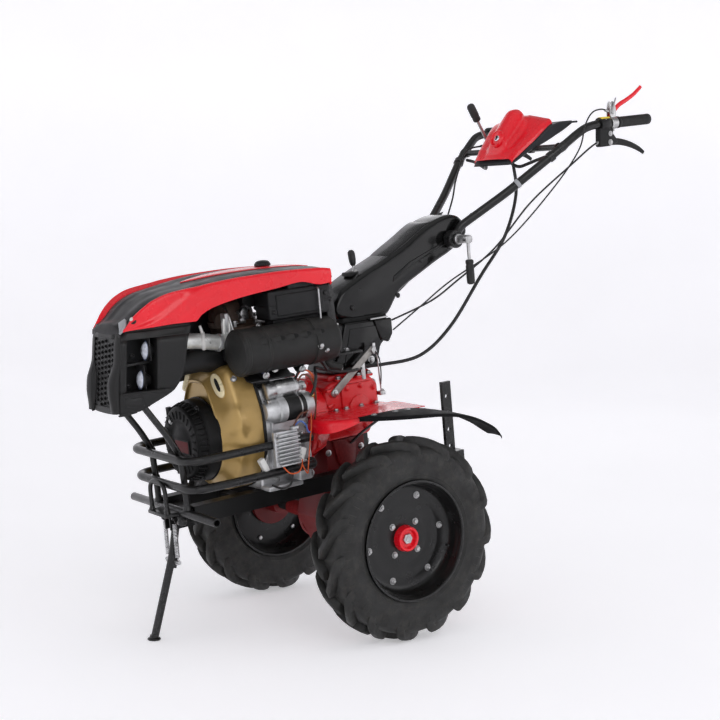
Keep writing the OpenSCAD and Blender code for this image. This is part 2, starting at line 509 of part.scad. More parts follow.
engine_block();
cylinder_head();
fan_shroud();
recoil_starter();
muffler();
air_cleaner();
starter_motor();
regulator();
fuel_tank();
fuel_cap();
hood_cover();
hood_band();
front_fairing();
headlights();
upper_guard();
lower_guard();
guard_posts();
cross_tube();
engine_frame();
clutch_housing();
gearbox_case();
final_drive_case();
shift_arm();
left_fender();
left_fender_wing();
right_fender();
right_fender_wing();
hitch_arm();
drag_bar();
column_base();
column_cover();
column_lever();
hood_bracket();
clutch_cable();
throttle_cable();
gear_cable();
wiring_loom();
left_tyre();
left_rim();
left_hub();
right_tyre();
right_rim();
right_hub();
front_stand();
stand_springs();
left_bar();
right_bar();
bar_brace();
left_grip();
right_grip();
console_cover();
console_base();
left_lever();
right_lever();
throttle_lever();
gear_lever();
clamp_handle();
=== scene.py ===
import math
import random

import bmesh
import bpy
from mathutils import Matrix, Vector


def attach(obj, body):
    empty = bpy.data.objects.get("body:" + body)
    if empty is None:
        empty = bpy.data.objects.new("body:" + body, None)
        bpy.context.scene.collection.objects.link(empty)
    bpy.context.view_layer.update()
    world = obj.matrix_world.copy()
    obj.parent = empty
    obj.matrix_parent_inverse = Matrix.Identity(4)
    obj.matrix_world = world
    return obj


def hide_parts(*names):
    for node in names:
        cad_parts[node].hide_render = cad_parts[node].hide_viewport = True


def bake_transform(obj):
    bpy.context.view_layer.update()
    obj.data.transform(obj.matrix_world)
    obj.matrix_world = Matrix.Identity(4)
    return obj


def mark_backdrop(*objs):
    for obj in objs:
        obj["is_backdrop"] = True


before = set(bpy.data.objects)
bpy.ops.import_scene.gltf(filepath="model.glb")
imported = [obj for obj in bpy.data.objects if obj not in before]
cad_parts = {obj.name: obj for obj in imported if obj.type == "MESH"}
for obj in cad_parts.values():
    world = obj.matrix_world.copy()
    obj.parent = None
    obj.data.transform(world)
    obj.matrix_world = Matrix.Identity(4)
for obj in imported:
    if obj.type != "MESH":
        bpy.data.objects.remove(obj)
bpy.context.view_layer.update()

random.seed(7)

# ---------------------------------------------------------------- frames
# Shapes are written in machine millimetres: X forward, Y left, Z up, zero on
# the axle; the machine leans 7 degrees nose down in the row frame.
MACHINE = Matrix.Translation((0.12553937, 0, 0.270)) @ Matrix.Rotation(math.radians(7), 4, "Y")


def W(x, y, z):
    return MACHINE @ Vector((x / 1000, y / 1000, z / 1000))


# ---------------------------------------------------------------- camera
scene = bpy.context.scene
scene.view_settings.view_transform = "Standard"
cam_data = bpy.data.cameras.new("camera")
cam_data.lens, cam_data.sensor_width, cam_data.sensor_fit = 72.81, 36.0, "HORIZONTAL"
cam_data.clip_start, cam_data.clip_end = 0.05, 100
cam = bpy.data.objects.new("camera", cam_data)
scene.collection.objects.link(cam)
fwd = Vector((-0.57417915, -0.81512654, -0.07672702))
right = Vector((-0.81808777, 0.57491433, 0.01434975))
up = right.cross(fwd)
cam.matrix_world = Matrix((
    (right.x, up.x, -fwd.x, 2.4030479), (right.y, up.y, -fwd.y, 3.3571),
    (right.z, up.z, -fwd.z, 1.0280), (0, 0, 0, 1)))
scene.camera = cam


# ---------------------------------------------------------------- materials
class Nodes:
    """A material's node tree with short helpers; textures use object coordinates, in metres."""

    def __init__(self, name):
        self.mat = bpy.data.materials.new(name)
        self.mat.use_nodes = True
        self.t = self.mat.node_tree
        self.b = self.t.nodes["Principled BSDF"]
        self.co = self.t.nodes.new("ShaderNodeTexCoord").outputs["Object"]

    def n(self, kind, **props):
        node = self.t.nodes.new(kind)
        for k, v in props.items():
            setattr(node, k, v)
        return node

    def link(self, a, b):
        self.t.links.new(a, b)

    def noise(self, scale, detail=4.0, rough=0.55, stretch=None):
        node = self.n("ShaderNodeTexNoise")
        node.inputs["Scale"].default_value = scale
        node.inputs["Detail"].default_value = detail
        node.inputs["Roughness"].default_value = rough
        co = self.co
        if stretch:
            m = self.n("ShaderNodeMapping")
            m.inputs["Scale"].default_value = stretch
            self.link(co, m.inputs["Vector"])
            co = m.outputs["Vector"]
        self.link(co, node.inputs["Vector"])
        return node.outputs["Fac"]

    def voronoi(self, scale, feature="F1"):
        node = self.n("ShaderNodeTexVoronoi", feature=feature)
        node.inputs["Scale"].default_value = scale
        self.link(self.co, node.inputs["Vector"])
        return node.outputs["Distance"]

    def ramp(self, fac, lo, hi, a=(0, 0, 0, 1), b=(1, 1, 1, 1)):
        node = self.n("ShaderNodeValToRGB")
        node.color_ramp.elements[0].position, node.color_ramp.elements[1].position = lo, hi
        node.color_ramp.elements[0].color, node.color_ramp.elements[1].color = a, b
        self.link(fac, node.inputs["Fac"])
        return node.outputs["Color"]

    def span(self, fac, lo, hi, to_lo, to_hi):
        node = self.n("ShaderNodeMapRange")
        for k, v in zip(("From Min", "From Max", "To Min", "To Max"), (lo, hi, to_lo, to_hi)):
            node.inputs[k].default_value = v
        self.link(fac, node.inputs["Value"])
        return node.outputs["Result"]

    def mix(self, fac, a, b, blend="MIX"):
        node = self.n("ShaderNodeMix", data_type="RGBA", blend_type=blend)
        for sock, val in ((0, fac), (6, a), (7, b)):
            if isinstance(val, (tuple, list)):
                node.inputs[sock].default_value = val
            elif isinstance(val, (int, float)):
                node.inputs[sock].default_value = val
            else:
                self.link(val, node.inputs[sock])
        return node.outputs[2]

    def worn(self, lo=0.52, hi=0.6):
        g = self.n("ShaderNodeNewGeometry")
        return self.ramp(g.outputs["Pointiness"], lo, hi)

    def facing_up(self, lo=0.3, hi=1.0):
        g = self.n("ShaderNodeNewGeometry")
        s = self.n("ShaderNodeSeparateXYZ")
        self.link(g.outputs["Normal"], s.inputs[0])
        return self.span(s.outputs["Z"], lo, hi, 0.0, 1.0)

    def mul(self, a, b):
        node = self.n("ShaderNodeMath", operation="MULTIPLY")
        for i, v in enumerate((a, b)):
            if isinstance(v, (int, float)):
                node.inputs[i].default_value = v
            else:
                self.link(v, node.inputs[i])
        return node.outputs[0]

    def bump(self, height, strength, distance=0.001, under=None):
        node = self.n("ShaderNodeBump")
        node.inputs["Strength"].default_value = strength
        node.inputs["Distance"].default_value = distance
        self.link(height, node.inputs["Height"])
        if under is not None:
            self.link(under, node.inputs["Normal"])
        return node.outputs["Normal"]

    def base(self, colour):
        self.link(colour, self.b.inputs["Base Color"])

    def rough(self, value):
        self.link(value, self.b.inputs["Roughness"])

    def normal(self, value):
        self.link(value, self.b.inputs["Normal"])

    def set(self, **values):
        for k, v in values.items():
            self.b.inputs[k.replace("_", " ")].default_value = v


def rgb(r, g, b):
    """sRGB 0-255 to linear."""
    f = lambda c: c / 12.92 if c <= 0.04045 else ((c + 0.055) / 1.055) ** 2.4
    return (f(r / 255), f(g / 255), f(b / 255), 1.0)


def shade(c, k):
    return (min(c[0] * k, 1), min(c[1] * k, 1), min(c[2] * k, 1), 1.0)


def paint(name, colour, rough=0.25, coat=0.6, metal=0.0, peel=0.05, vary=0.12, dust=0.0, wear=None, spec=0.5):
    """Sprayed paint or gloss plastic: slow tone drift, orange peel, roughness drift, light dust and worn edges."""
    m = Nodes(name)
    col = m.mix(m.ramp(m.noise(9, 5), 0.35, 0.68), shade(colour, 1 - vary), shade(colour, 1 + vary))
    col = m.mix(m.ramp(m.noise(900, 2), 0.45, 0.75), col, shade(colour, 1 + vary * 0.6))
    if wear:
        col = m.mix(m.mul(m.worn(0.53, 0.64), m.ramp(m.noise(160, 3), 0.42, 0.62)), col, wear)
    if dust:
        col = m.mix(m.mul(m.mul(m.facing_up(), m.ramp(m.noise(38, 6), 0.35, 0.75)), dust), col, rgb(168, 158, 142))
    m.base(col)
    m.rough(m.span(m.noise(24, 5), 0.3, 0.75, max(rough - 0.06, 0.03), rough + 0.1))
    m.normal(m.bump(m.noise(420, 2), peel, 0.0006, m.bump(m.noise(60, 3), peel * 0.6, 0.001)))
    m.set(Metallic=metal, Coat_Weight=coat, Coat_Roughness=0.06, Specular_IOR_Level=spec)
    return m.mat


def cast(name, colour, rough=0.45, metal=0.85, grain=0.35, dirt=(0.05, 0.045, 0.04, 1), amount=0.5):
    """Cast metal: pitted grain, oily dirt in hollows, brighter edges."""
    m = Nodes(name)
    col = m.mix(m.ramp(m.noise(26, 7, 0.65), 0.36, 0.66), shade(colour, 0.72), shade(colour, 1.12))
    g = m.n("ShaderNodeNewGeometry")
    hollow = m.ramp(g.outputs["Pointiness"], 0.40, 0.5, (1, 1, 1, 1), (0, 0, 0, 1))
    col = m.mix(m.mul(hollow, amount), col, dirt)
    col = m.mix(m.mul(m.ramp(m.noise(70, 6, 0.7), 0.55, 0.8), amount * 0.5), col, dirt)
    col = m.mix(m.mul(m.worn(0.53, 0.62), 0.6), col, shade(colour, 1.35))
    m.base(col)
    m.rough(m.span(m.noise(55, 6), 0.3, 0.75, rough - 0.1, rough + 0.2))
    m.normal(m.bump(m.noise(700, 3, 0.7), grain, 0.0008, m.bump(m.noise(120, 4), grain * 0.5, 0.0012)))
    m.set(Metallic=metal)
    return m.mat


def plastic(name, colour, rough=0.42, grain=0.18, coat=0.0, dust=0.05, scale=1500, spec=0.32):
    """Moulded plastic: fine spark-eroded grain, faint scuffs."""
    m = Nodes(name)
    col = m.mix(m.ramp(m.noise(14, 6), 0.35, 0.7), shade(colour, 0.86), shade(colour, 1.18))
    col = m.mix(m.mul(m.worn(0.53, 0.62), 0.35), col, shade(colour, 2.2))
    if dust:
        col = m.mix(m.mul(m.mul(m.facing_up(), m.ramp(m.noise(45, 6), 0.4, 0.8)), dust), col, rgb(150, 145, 136))
    m.base(col)
    m.rough(m.span(m.noise(33, 6, 0.6), 0.3, 0.75, rough - 0.08, rough + 0.12))
    m.normal(m.bump(m.noise(scale, 2), grain, 0.0005))
    m.set(Coat_Weight=coat, Coat_Roughness=0.08, Specular_IOR_Level=spec)
    return m.mat


def rubber(name, colour, rough=0.7, dust=0.35, grain=0.3):
    """Tyre and grip rubber: dull, dusty in patches, greyer on the edges, fine skin texture."""
    m = Nodes(name)
    col = m.mix(m.ramp(m.noise(18, 7, 0.65), 0.35, 0.7), shade(colour, 0.75), shade(colour, 1.3))
    col = m.mix(m.mul(m.ramp(m.noise(48, 8, 0.7), 0.48, 0.74), dust * 0.5), col, rgb(120, 112, 100))
    col = m.mix(m.mul(m.worn(0.53, 0.64), dust * 0.55), col, rgb(104, 102, 99))
    m.base(col)
    m.rough(m.span(m.noise(30, 6), 0.3, 0.7, rough - 0.16, rough + 0.14))
    m.normal(m.bump(m.noise(850, 3, 0.65), grain, 0.0007, m.bump(m.noise(110, 5), grain * 0.6, 0.0012)))
    m.set(Specular_IOR_Level=0.42)
    return m.mat


def steel(name, colour, rough=0.28, stretch=(40, 1, 1), metal=1.0):
    """Plated or turned steel: fine brushed lines, small stains."""
    m = Nodes(name)
    col = m.mix(m.ramp(m.noise(60, 6), 0.35, 0.7), shade(colour, 0.8), shade(colour, 1.12))
    col = m.mix(m.mul(m.ramp(m.noise(110, 6, 0.7), 0.6, 0.8), 0.35), col, (0.09, 0.075, 0.06, 1))
    m.base(col)
    m.rough(m.span(m.noise(300, 4, 0.6, stretch), 0.3, 0.7, rough - 0.1, rough + 0.15))
    m.normal(m.bump(m.noise(500, 2, 0.5, stretch), 0.08, 0.0004))
    m.set(Metallic=metal)
    return m.mat


RED = rgb(230, 14, 34)
M_RED = paint("red_gloss", RED, 0.26, 0.4, peel=0.04, vary=0.07, dust=0.02, wear=shade(RED, 1.3), spec=0.35)
M_RED_CAST = paint("red_cast_paint", rgb(210, 18, 28), 0.32, 0.3, peel=0.3, vary=0.14, dust=0.05, wear=rgb(220, 84, 80), spec=0.35)
# painted shade: the red paint darkened for the low, inner red parts that sit in shade
M_SHADED_RED = paint("dark_red_paint", rgb(100, 12, 16), 0.45, 0.1, peel=0.25, vary=0.25, dust=0.05, wear=rgb(140, 50, 48), spec=0.3)
M_BLACK = paint("black_tube_paint", rgb(14, 14, 14), 0.3, 0.2, peel=0.06, vary=0.15, dust=0.01, wear=rgb(60, 60, 61), spec=0.35)
M_FRAME = paint("black_frame_paint", rgb(15, 15, 15), 0.45, 0.05, peel=0.15, vary=0.2, dust=0.02, spec=0.25)
M_WING = paint("black_wing_plastic", rgb(22, 22, 23), 0.58, 0.0, peel=0.06, vary=0.2, dust=0.0, spec=0.06)
M_RIM = paint("black_rim_paint", rgb(15, 15, 15), 0.3, 0.2, peel=0.08, vary=0.2, dust=0.02, wear=rgb(60, 60, 60), spec=0.3)
M_GLOSS = paint("black_gloss_plastic", rgb(11, 11, 11), 0.2, 0.2, peel=0.03, vary=0.15, dust=0.01, spec=0.26)
M_BAND = paint("black_band_gloss", rgb(20, 19, 21), 0.42, 0.05, peel=0.03, vary=0.15, dust=0.02, spec=0.2)
M_PLASTIC = plastic("black_moulded_plastic", rgb(21, 21, 21), 0.38, 0.16)
M_COARSE = plastic("black_coarse_plastic", rgb(20, 20, 21), 0.5, 0.35, dust=0.1, scale=900)
M_BASE = plastic("grey_black_plastic", rgb(42, 43, 46), 0.42, 0.2)
M_MUFFLER = plastic("black_heat_paint", rgb(32, 32, 31), 0.55, 0.5, dust=0.08, scale=1100)
M_GOLD = paint("gold_paint", rgb(170, 140, 82), 0.34, 0.25, metal=0.5, peel=0.1, vary=0.12, dust=0.02, wear=rgb(214, 192, 140))
M_ALU = cast("cast_aluminium", rgb(196, 197, 198), 0.38, 0.8, 0.3)
M_ALU_DARK = cast("cast_aluminium_dark", rgb(120, 120, 120), 0.5, 0.7, 0.4)
M_IRON = cast("cast_iron_brown", rgb(74, 58, 48), 0.5, 0.35, 0.5, amount=0.6)
M_STEEL = steel("plated_steel", rgb(190, 190, 190))
M_SHIFT = steel("grey_flat_steel", rgb(150, 147, 143), 0.4)
M_SPRING = steel("spring_steel", rgb(205, 205, 206), 0.2)
M_CHROME = steel("bright_reflector", rgb(232, 236, 242), 0.12)
M_TYRE = rubber("tyre_rubber", rgb(29, 29, 28), 0.6, 0.22)
M_GRIP = rubber("grip_rubber", rgb(30, 30, 31), 0.55, 0.12, 0.4)
M_CABLE = rubber("cable_sheath", rgb(26, 26, 27), 0.45, 0.08, 0.15)
M_WHITE = plastic("white_plastic", rgb(214, 214, 210), 0.4, 0.1)
M_GREYSHEET = plastic("pale_backing_sheet", rgb(150, 152, 155), 0.6, 0.2)
M_LABEL = paint("plain_red_label", rgb(92, 12, 18), 0.5, 0.0, peel=0.02, vary=0.1)
M_YELLOW = paint("yellow_sleeve", rgb(226, 196, 40), 0.45, 0.1, peel=0.05, vary=0.1)
M_ORANGE = rubber("orange_wire", rgb(205, 84, 28), 0.45, 0.08, 0.1)
M_BROWN = rubber("brown_wire", rgb(92, 52, 34), 0.45, 0.08, 0.1)
M_BLUE = rubber("blue_wire", rgb(74, 104, 168), 0.45, 0.08, 0.1)
M_DARK = plastic("shadow_black", rgb(9, 9, 9), 0.7, 0.1, dust=0.0)
M_RECOIL = plastic("recoil_black_plastic", rgb(9, 9, 9), 0.5, 0.2, dust=0.0, spec=0.22)
# painted highlight: a paler copy of the gold paint for the shroud's oval bosses
M_GOLD_PAINTED_HIGHLIGHT = paint("gold_boss_painted_highlight", rgb(222, 208, 168), 0.28, 0.4, metal=0.25, peel=0.08, vary=0.08)
M_SLATE = paint("slate_blue_cap", rgb(58, 60, 82), 0.3, 0.4, peel=0.05, vary=0.12)
M_BRIGHT = cast("bright_cast_pipe", rgb(222, 224, 220), 0.34, 0.55, 0.2, amount=0.25)
M_COPPER = steel("brass_fitting", rgb(186, 150, 92), 0.3)


def lens_glass(name, tint):
    """Moulded lamp lens: fluted, milky enough to show its reflector's brightness."""
    m = Nodes(name)
    wave = m.n("ShaderNodeTexWave", wave_type="BANDS", bands_direction="Y")
    wave.inputs["Scale"].default_value = 60
    wave.inputs["Distortion"].default_value = 0.6
    m.link(m.co, wave.inputs["Vector"])
    m.base(m.mix(m.ramp(m.noise(120, 4), 0.4, 0.66), tint, shade(tint, 0.72)))
    m.rough(m.span(m.noise(70, 4), 0.3, 0.7, 0.05, 0.14))
    m.normal(m.bump(wave.outputs["Fac"], 0.35, 0.0012))
    m.set(Transmission_Weight=0.25, IOR=1.45, Specular_IOR_Level=0.6)
    return m.mat


M_LENS = lens_glass("lamp_lens", (0.86, 0.9, 1.0, 1))
M_BLUERIM = paint("lamp_blue_tint", rgb(88, 112, 158), 0.2, 0.6, peel=0.02, vary=0.1)


# ---------------------------------------------------------------- mesh tools
def soft(t):
    t = min(max(t, 0), 1)
    return t * t * (3 - 2 * t)


def box(x0, x1, y0, y1, z0, z1):
    v = [(x, y, z) for x in (x0, x1) for y in (y0, y1) for z in (z0, z1)]
    return v, [(0, 1, 3, 2), (4, 6, 7, 5), (0, 4, 5, 1), (2, 3, 7, 6), (0, 2, 6, 4), (1, 5, 7, 3)]


def prism(axis, poly, a, b):
    """A flat outline drawn along an axis: poly is (x, z) for y, (x, y) for z, (y, z) for x."""
    put = {"y": lambda p, t: (p[0], t, p[1]), "z": lambda p, t: (p[0], p[1], t), "x": lambda p, t: (t, p[0], p[1])}[axis]
    n = len(poly)
    v = [put(p, a) for p in poly] + [put(p, b) for p in poly]
    return v, [tuple(range(n)), tuple(range(2 * n - 1, n - 1, -1))] + [(i, (i + 1) % n, n + (i + 1) % n, n + i) for i in range(n)]


def loft(rings, caps=True, close=True):
    n, m = len(rings[0]), len(rings)
    v = [tuple(p) for r in rings for p in r]
    last = n if close else n - 1
    f = [(j * n + i, j * n + (i + 1) % n, (j + 1) * n + (i + 1) % n, (j + 1) * n + i) for j in range(m - 1) for i in range(last)]
    if caps:
        f += [tuple(range(n - 1, -1, -1)), tuple((m - 1) * n + i for i in range(n))]
    return v, f


def axes_of(d):
    d = Vector(d).normalized()
    a = Vector((0, 0, 1)) if abs(d.z) < 0.9 else Vector((1, 0, 0))
    u = d.cross(a).normalized()
    return d, u, d.cross(u)


def lathe(profile, o, d, n=48, start=0.0):
    """Profile of (radius, distance along d), turned about d through o."""
    d, u, w = axes_of(d)
    o = Vector(o)
    rings = []
    for r, t in profile:
        rings.append([tuple(o + d * t + (u * math.cos(a) + w * math.sin(a)) * max(r, 0.001))
                      for a in (start + 2 * math.pi * i / n for i in range(n))])
    return loft(rings, caps=False)


def sweep(pts, r, n=14, caps=True, loop=False, flat=None):
    """Tube along points; r is a number or one per point; flat scales the second cross axis."""
    p = [Vector(q) for q in pts]
    m = len(p)
    rr = r if isinstance(r, (list, tuple)) else [r] * m
    tan = []
    for i in range(m):
        a, b = (p[(i - 1) % m], p[(i + 1) % m]) if loop else (p[max(i - 1, 0)], p[min(i + 1, m - 1)])
        tan.append((b - a).normalized())
    d, u, w = axes_of(tan[0])
    rings = []
    for i in range(m):
        u = (u - tan[i] * u.dot(tan[i])).normalized()
        w = tan[i].cross(u)
        k = flat if flat else 1.0
        rings.append([tuple(p[i] + (u * math.cos(a) + w * math.sin(a) * k) * rr[i]) for a in (2 * math.pi * j / n for j in range(n))])
    if loop:
        rings.append(rings[0])
        return loft(rings, caps=False)
    return loft(rings, caps=caps)


def rounded(p, c, k=6):
    p = [Vector(q) for q in p]
    out = [p[0]]
    for i in range(1, len(p) - 1):
        cc = c[i - 1] if isinstance(c, (list, tuple)) else c
        a = p[i] + (p[i - 1] - p[i]).normalized() * cc
        b = p[i] + (p[i + 1] - p[i]).normalized() * cc
        out += [a * (1 - t) ** 2 + p[i] * 2 * t * (1 - t) + b * t * t for t in (j / (k - 1) for j in range(k))]
    return out + [p[-1]]


def through(p, k=8):
    p = [Vector(q) for q in p]
    out = []
    for i in range(len(p) - 1):
        a, b, c, d = p[max(i - 1, 0)], p[i], p[i + 1], p[min(i + 2, len(p) - 1)]
        for j in range(k):
            t = j / k
            out.append((b * 2 + (c - a) * t + (a * 2 - b * 5 + c * 4 - d) * t * t + (b * 3 - a - c * 3 + d) * t ** 3) / 2)
    return out + [p[-1]]


def ball(c, rx, ry, rz, nu=20, nv=12, half=False):
    c = Vector(c)
    top = math.pi / 2
    rings = []
    lo = 0.0 if half else -top
    for j in range(nv + 1):
        a = lo + (top - lo) * j / nv
        rings.append([tuple(c + Vector((rx * math.cos(a) * math.cos(b), ry * math.cos(a) * math.sin(b), rz * math.sin(a))))
                      for b in (2 * math.pi * i / nu for i in range(nu))])
    return loft(rings, caps=True)


def flip_y(vf):
    return [(x, -y, z) for x, y, z in vf[0]], [tuple(reversed(f)) for f in vf[1]]


def moved(vf, mat):
    return [tuple(mat @ Vector(p)) for p in vf[0]], vf[1]


def smooth_outline(p, times=2):
    for _ in range(times):
        q = []
        for i in range(len(p)):
            a, b = p[i], p[(i + 1) % len(p)]
            q += [(a[0] * 0.75 + b[0] * 0.25, a[1] * 0.75 + b[1] * 0.25), (a[0] * 0.25 + b[0] * 0.75, a[1] * 0.25 + b[1] * 0.75)]
        p = q
    return p


def resample(p, n, start=0.0):
    """n points evenly along a closed outline."""
    seg = [math.dist(p[i], p[(i + 1) % len(p)]) for i in range(len(p))]
    total = sum(seg)
    out, i, acc = [], 0, 0.0
    for k in range(n):
        s = (start + total * k / n) % total
        acc, i = 0.0, 0
        while acc + seg[i] < s:
            acc += seg[i]
            i += 1
        t = (s - acc) / seg[i] if seg[i] else 0
        a, b = p[i], p[(i + 1) % len(p)]
        out.append((a[0] + (b[0] - a[0]) * t, a[1] + (b[1] - a[1]) * t))
    return out


def table_at(table, x, col):
    """Smooth value of a table's column at x (column 0), monotone cubic."""
    xs = [r[0] for r in table]
    ys = [r[col] for r in table]
    if xs[0] > xs[-1]:
        xs, ys = xs[::-1], ys[::-1]
    if x <= xs[0]:
        return ys[0]
    if x >= xs[-1]:
        return ys[-1]
    n = len(xs)
    d = [(ys[i + 1] - ys[i]) / (xs[i + 1] - xs[i]) for i in range(n - 1)]
    t = [d[0]] + [0 if d[i - 1] * d[i] <= 0 else 2 * d[i - 1] * d[i] / (d[i - 1] + d[i]) for i in range(1, n - 1)] + [d[-1]]
    k = max(i for i in range(n - 1) if xs[i] <= x)
    h = xs[k + 1] - xs[k]
    s = (x - xs[k]) / h
    return (ys[k] * (1 + 2 * s) * (1 - s) ** 2 + t[k] * h * s * (1 - s) ** 2
            + ys[k + 1] * s * s * (3 - 2 * s) + t[k + 1] * h * s * s * (s - 1))


class Part:
    """One visual piece: several meshes with their materials, joined into one object that rides a body; with blend it is
    left unparented.
    """

    def __init__(self, name, body, rep=(), slot=None, sharp=38):
        self.name, self.body, self.rep, self.slot, self.sharp = name, body, rep, slot, sharp
        self.bm, self.mats = bmesh.new(), []

    def add(self, vf, mat, bevel=0.0, seg=2, ang=30, both=False, closed=True):
        if both:
            self.add(flip_y(vf), mat, bevel, seg, ang)
        t = bmesh.new()
        vs = [t.verts.new(W(*v)) for v in vf[0]]
        for f in vf[1]:
            if len(set(f)) > 2:
                try:
                    t.faces.new([vs[i] for i in f])
                except ValueError:
                    pass
        bmesh.ops.remove_doubles(t, verts=t.verts[:], dist=2e-6)
        bmesh.ops.recalc_face_normals(t, faces=t.faces[:])
        if bevel:
            t.normal_update()
            es = [e for e in t.edges if len(e.link_faces) == 2 and e.calc_face_angle(0) > math.radians(ang)]
            bmesh.ops.bevel(t, geom=es, offset=bevel / 1000, offset_type="OFFSET", segments=seg, profile=0.5, affect="EDGES",
                            clamp_overlap=True)
        if mat not in self.mats:
            self.mats.append(mat)
        k = self.mats.index(mat)
        for f in t.faces:
            f.material_index, f.smooth = k, True
        me = bpy.data.meshes.new("t")
        t.to_mesh(me)
        t.free()
        self.bm.from_mesh(me)
        bpy.data.meshes.remove(me)
        return self

    def bolt(self, o, d, r=7.0, h=5.0, mat=None, washer=True):
        """Hexagon head with a washer and a chamfered top."""
        mat = mat or M_STEEL
        d, u, w = axes_of(d)
        o = Vector(o)
        t = 0.0
        if washer:
            self.add(lathe([(0, 0), (r * 1.55, 0), (r * 1.55, r * 0.2), (r * 1.4, r * 0.28), (0, r * 0.28)], o, d, 20), mat)
            t = r * 0.26
        self.add(lathe([(0, t), (r * 1.1, t), (r * 1.1, t + h * 0.8), (r * 0.9, t + h), (0, t + h)], o, d, 6), mat, 0.5, 1)
        return self

    def dome(self, o, d, r=6.0, h=4.0, mat=None):
        """Round-headed screw."""
        prof = [(r * math.cos(a), h * math.sin(a)) for a in (math.pi / 2 * i / 5 for i in range(6))]
        self.add(lathe([(0, 0), (r * 1.25, 0), (r * 1.25, 0.8)] + prof, o, d, 18), mat or M_STEEL)
        return self

    def done(self, solid=0.0, subsurf=0, blend=None):
        me = bpy.data.meshes.new(self.name)
        self.bm.to_mesh(me)
        self.bm.free()
        for m in self.mats:
            me.materials.append(m)
        me.set_sharp_from_angle(angle=math.radians(self.sharp))
        ob = bpy.data.objects.new(self.name, me)
        scene.collection.objects.link(ob)
        if subsurf:
            md = ob.modifiers.new("smooth", "SUBSURF")
            md.levels = md.render_levels = subsurf
        if solid:
            md = ob.modifiers.new("sheet", "SOLIDIFY")
            md.thickness, md.offset = solid / 1000, -1
        if blend:
            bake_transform(ob)
        else:
            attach(ob, self.body)
        if self.rep:
            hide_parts(*self.rep)
        return ob


def dress(node, mat, bevel=1.5, seg=2):
    """A CAD node that stays: better material, softened edges."""
    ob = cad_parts[node]
    if not ob.material_slots:
        ob.data.materials.append(mat)
    for s in ob.material_slots:
        s.link = "OBJECT"
        s.material = mat
    md = ob.modifiers.new("weld", "WELD")
    md.merge_threshold = 2e-5
    md = ob.modifiers.new("flat", "DECIMATE")
    md.decimate_type, md.angle_limit = "DISSOLVE", math.radians(2)
    md = ob.modifiers.new("edge", "BEVEL")
    md.width, md.segments, md.limit_method, md.angle_limit = bevel / 1000, seg, "ANGLE", math.radians(32)
    md = ob.modifiers.new("shade", "WEIGHTED_NORMAL")
    md.keep_sharp = False
    return ob


# ---------------------------------------------------------------- cables
# routes repeat those of the CAD model, machine millimetres: x, y, z
CABLES = [
    ("clutch_cable", 2.7, (1, 5), [(-876, 250, 977), (-840, 250, 962), (-776, 238, 920), (-655, 186, 822), (-554, 130, 700), (-430, 104, 622),
                                   (-340, 90, 574), (-212, 70, 536)]),
    ("throttle_cable", 2.3, (3, 7), [(-919, 250, 1064), (-892, 252, 1070), (-850, 258, 1062), (-812, 266, 1028), (-780, 264, 956),
                                     (-700, 226, 850), (-570, 162, 716), (-400, 112, 625), (-300, 96, 566), (-212, 72, 508)]),
    ("gear_cable", 2.7, (1, 5), [(-747, -128, 992), (-690, -134, 978), (-640, -128, 900), (-600, -112, 826), (-520, -96, 716),
                                 (-380, -88, 606), (-212, -70, 530)]),
    ("wiring_loom", 5.0, (0, 5), [(-716, 50, 940), (-703, 70, 845), (-619, 105, 730), (-500, 125, 627), (-378, 122, 498), (-270, 112, 430),
                                  (-155, 88, 420), (-100, 76, 424)]),
]
for name, r, (b0, b1), route in CABLES:
    pts = through(route, 9)
    part = Part(name + "_sheath", "chassis", (name,), "cable_rubber")
    part.add(sweep(pts, r, 12), M_CABLE)
    ob = part.done(blend=("handlebar", "chassis", W(*route[b0]), W(*route[b1])))
    row = [W(*p) for p in pts]

# ---------------------------------------------------------------- wheels
HT = 334
TYRE = [(153, 43), (158, 49), (163, 52.5), (170, 54), (173, 55.6), (176, 54.6), (186, 56.2), (200, 56.8), (203, 57.4), (206, 56.8), (220, 56),
        (232, 53.5), (240, 49), (245, 42), (247, 30), (248, 12)]
CARCASS = TYRE + [(r, -t) for r, t in reversed(TYRE)]


def carcass_r(t):
    t = abs(t)
    best = [(r, o) for r, o in TYRE if r >= 232]
    for (r0, o0), (r1, o1) in zip(best, best[1:]):
        if o1 <= t <= o0:
            return r0 + (r1 - r0) * (o0 - t) / (o0 - o1)
    return 248 if t < 12 else 232


def wheel_point(r, phi, t):
    return (r * math.cos(phi), HT + t, r * math.sin(phi))


def lug(phi0, side):
    """One slanted tread bar, from just over the middle to the shoulder; side is +1 outer or -1 inner."""
    rows = []
    # columns: offset, angle behind the middle, half width low, half width top, top radius
    for t, a, lo, hi, top in [(-5, 0.0, 17, 10, 266), (1, 1.2, 18, 12.5, 269.5), (12, 4.0, 17, 12.5, 269.8), (24, 7.6, 16, 12, 269),
                              (34, 11.2, 15.5, 12, 267), (43, 15.2, 15.5, 12, 263.5), (49.5, 18.2, 16, 12.5, 259), (54, 20.2, 16, 12.5, 251),
                              (56.3, 21.4, 15, 11, 240), (56.6, 22.2, 11, 8, 229)]:
        phi = phi0 + math.radians(a)
        low = min(carcass_r(t) - 3, top - 4) if t < 54 else top - 9
        tt = t * side
        inn = (t - 4 if t >= 54 else t) * side
        rows.append([wheel_point(low, phi - lo / low, inn), wheel_point(top, phi - hi / top, tt),
                     wheel_point(top, phi + hi / top, tt), wheel_point(low, phi + lo / low, inn)])
    return loft(rows)


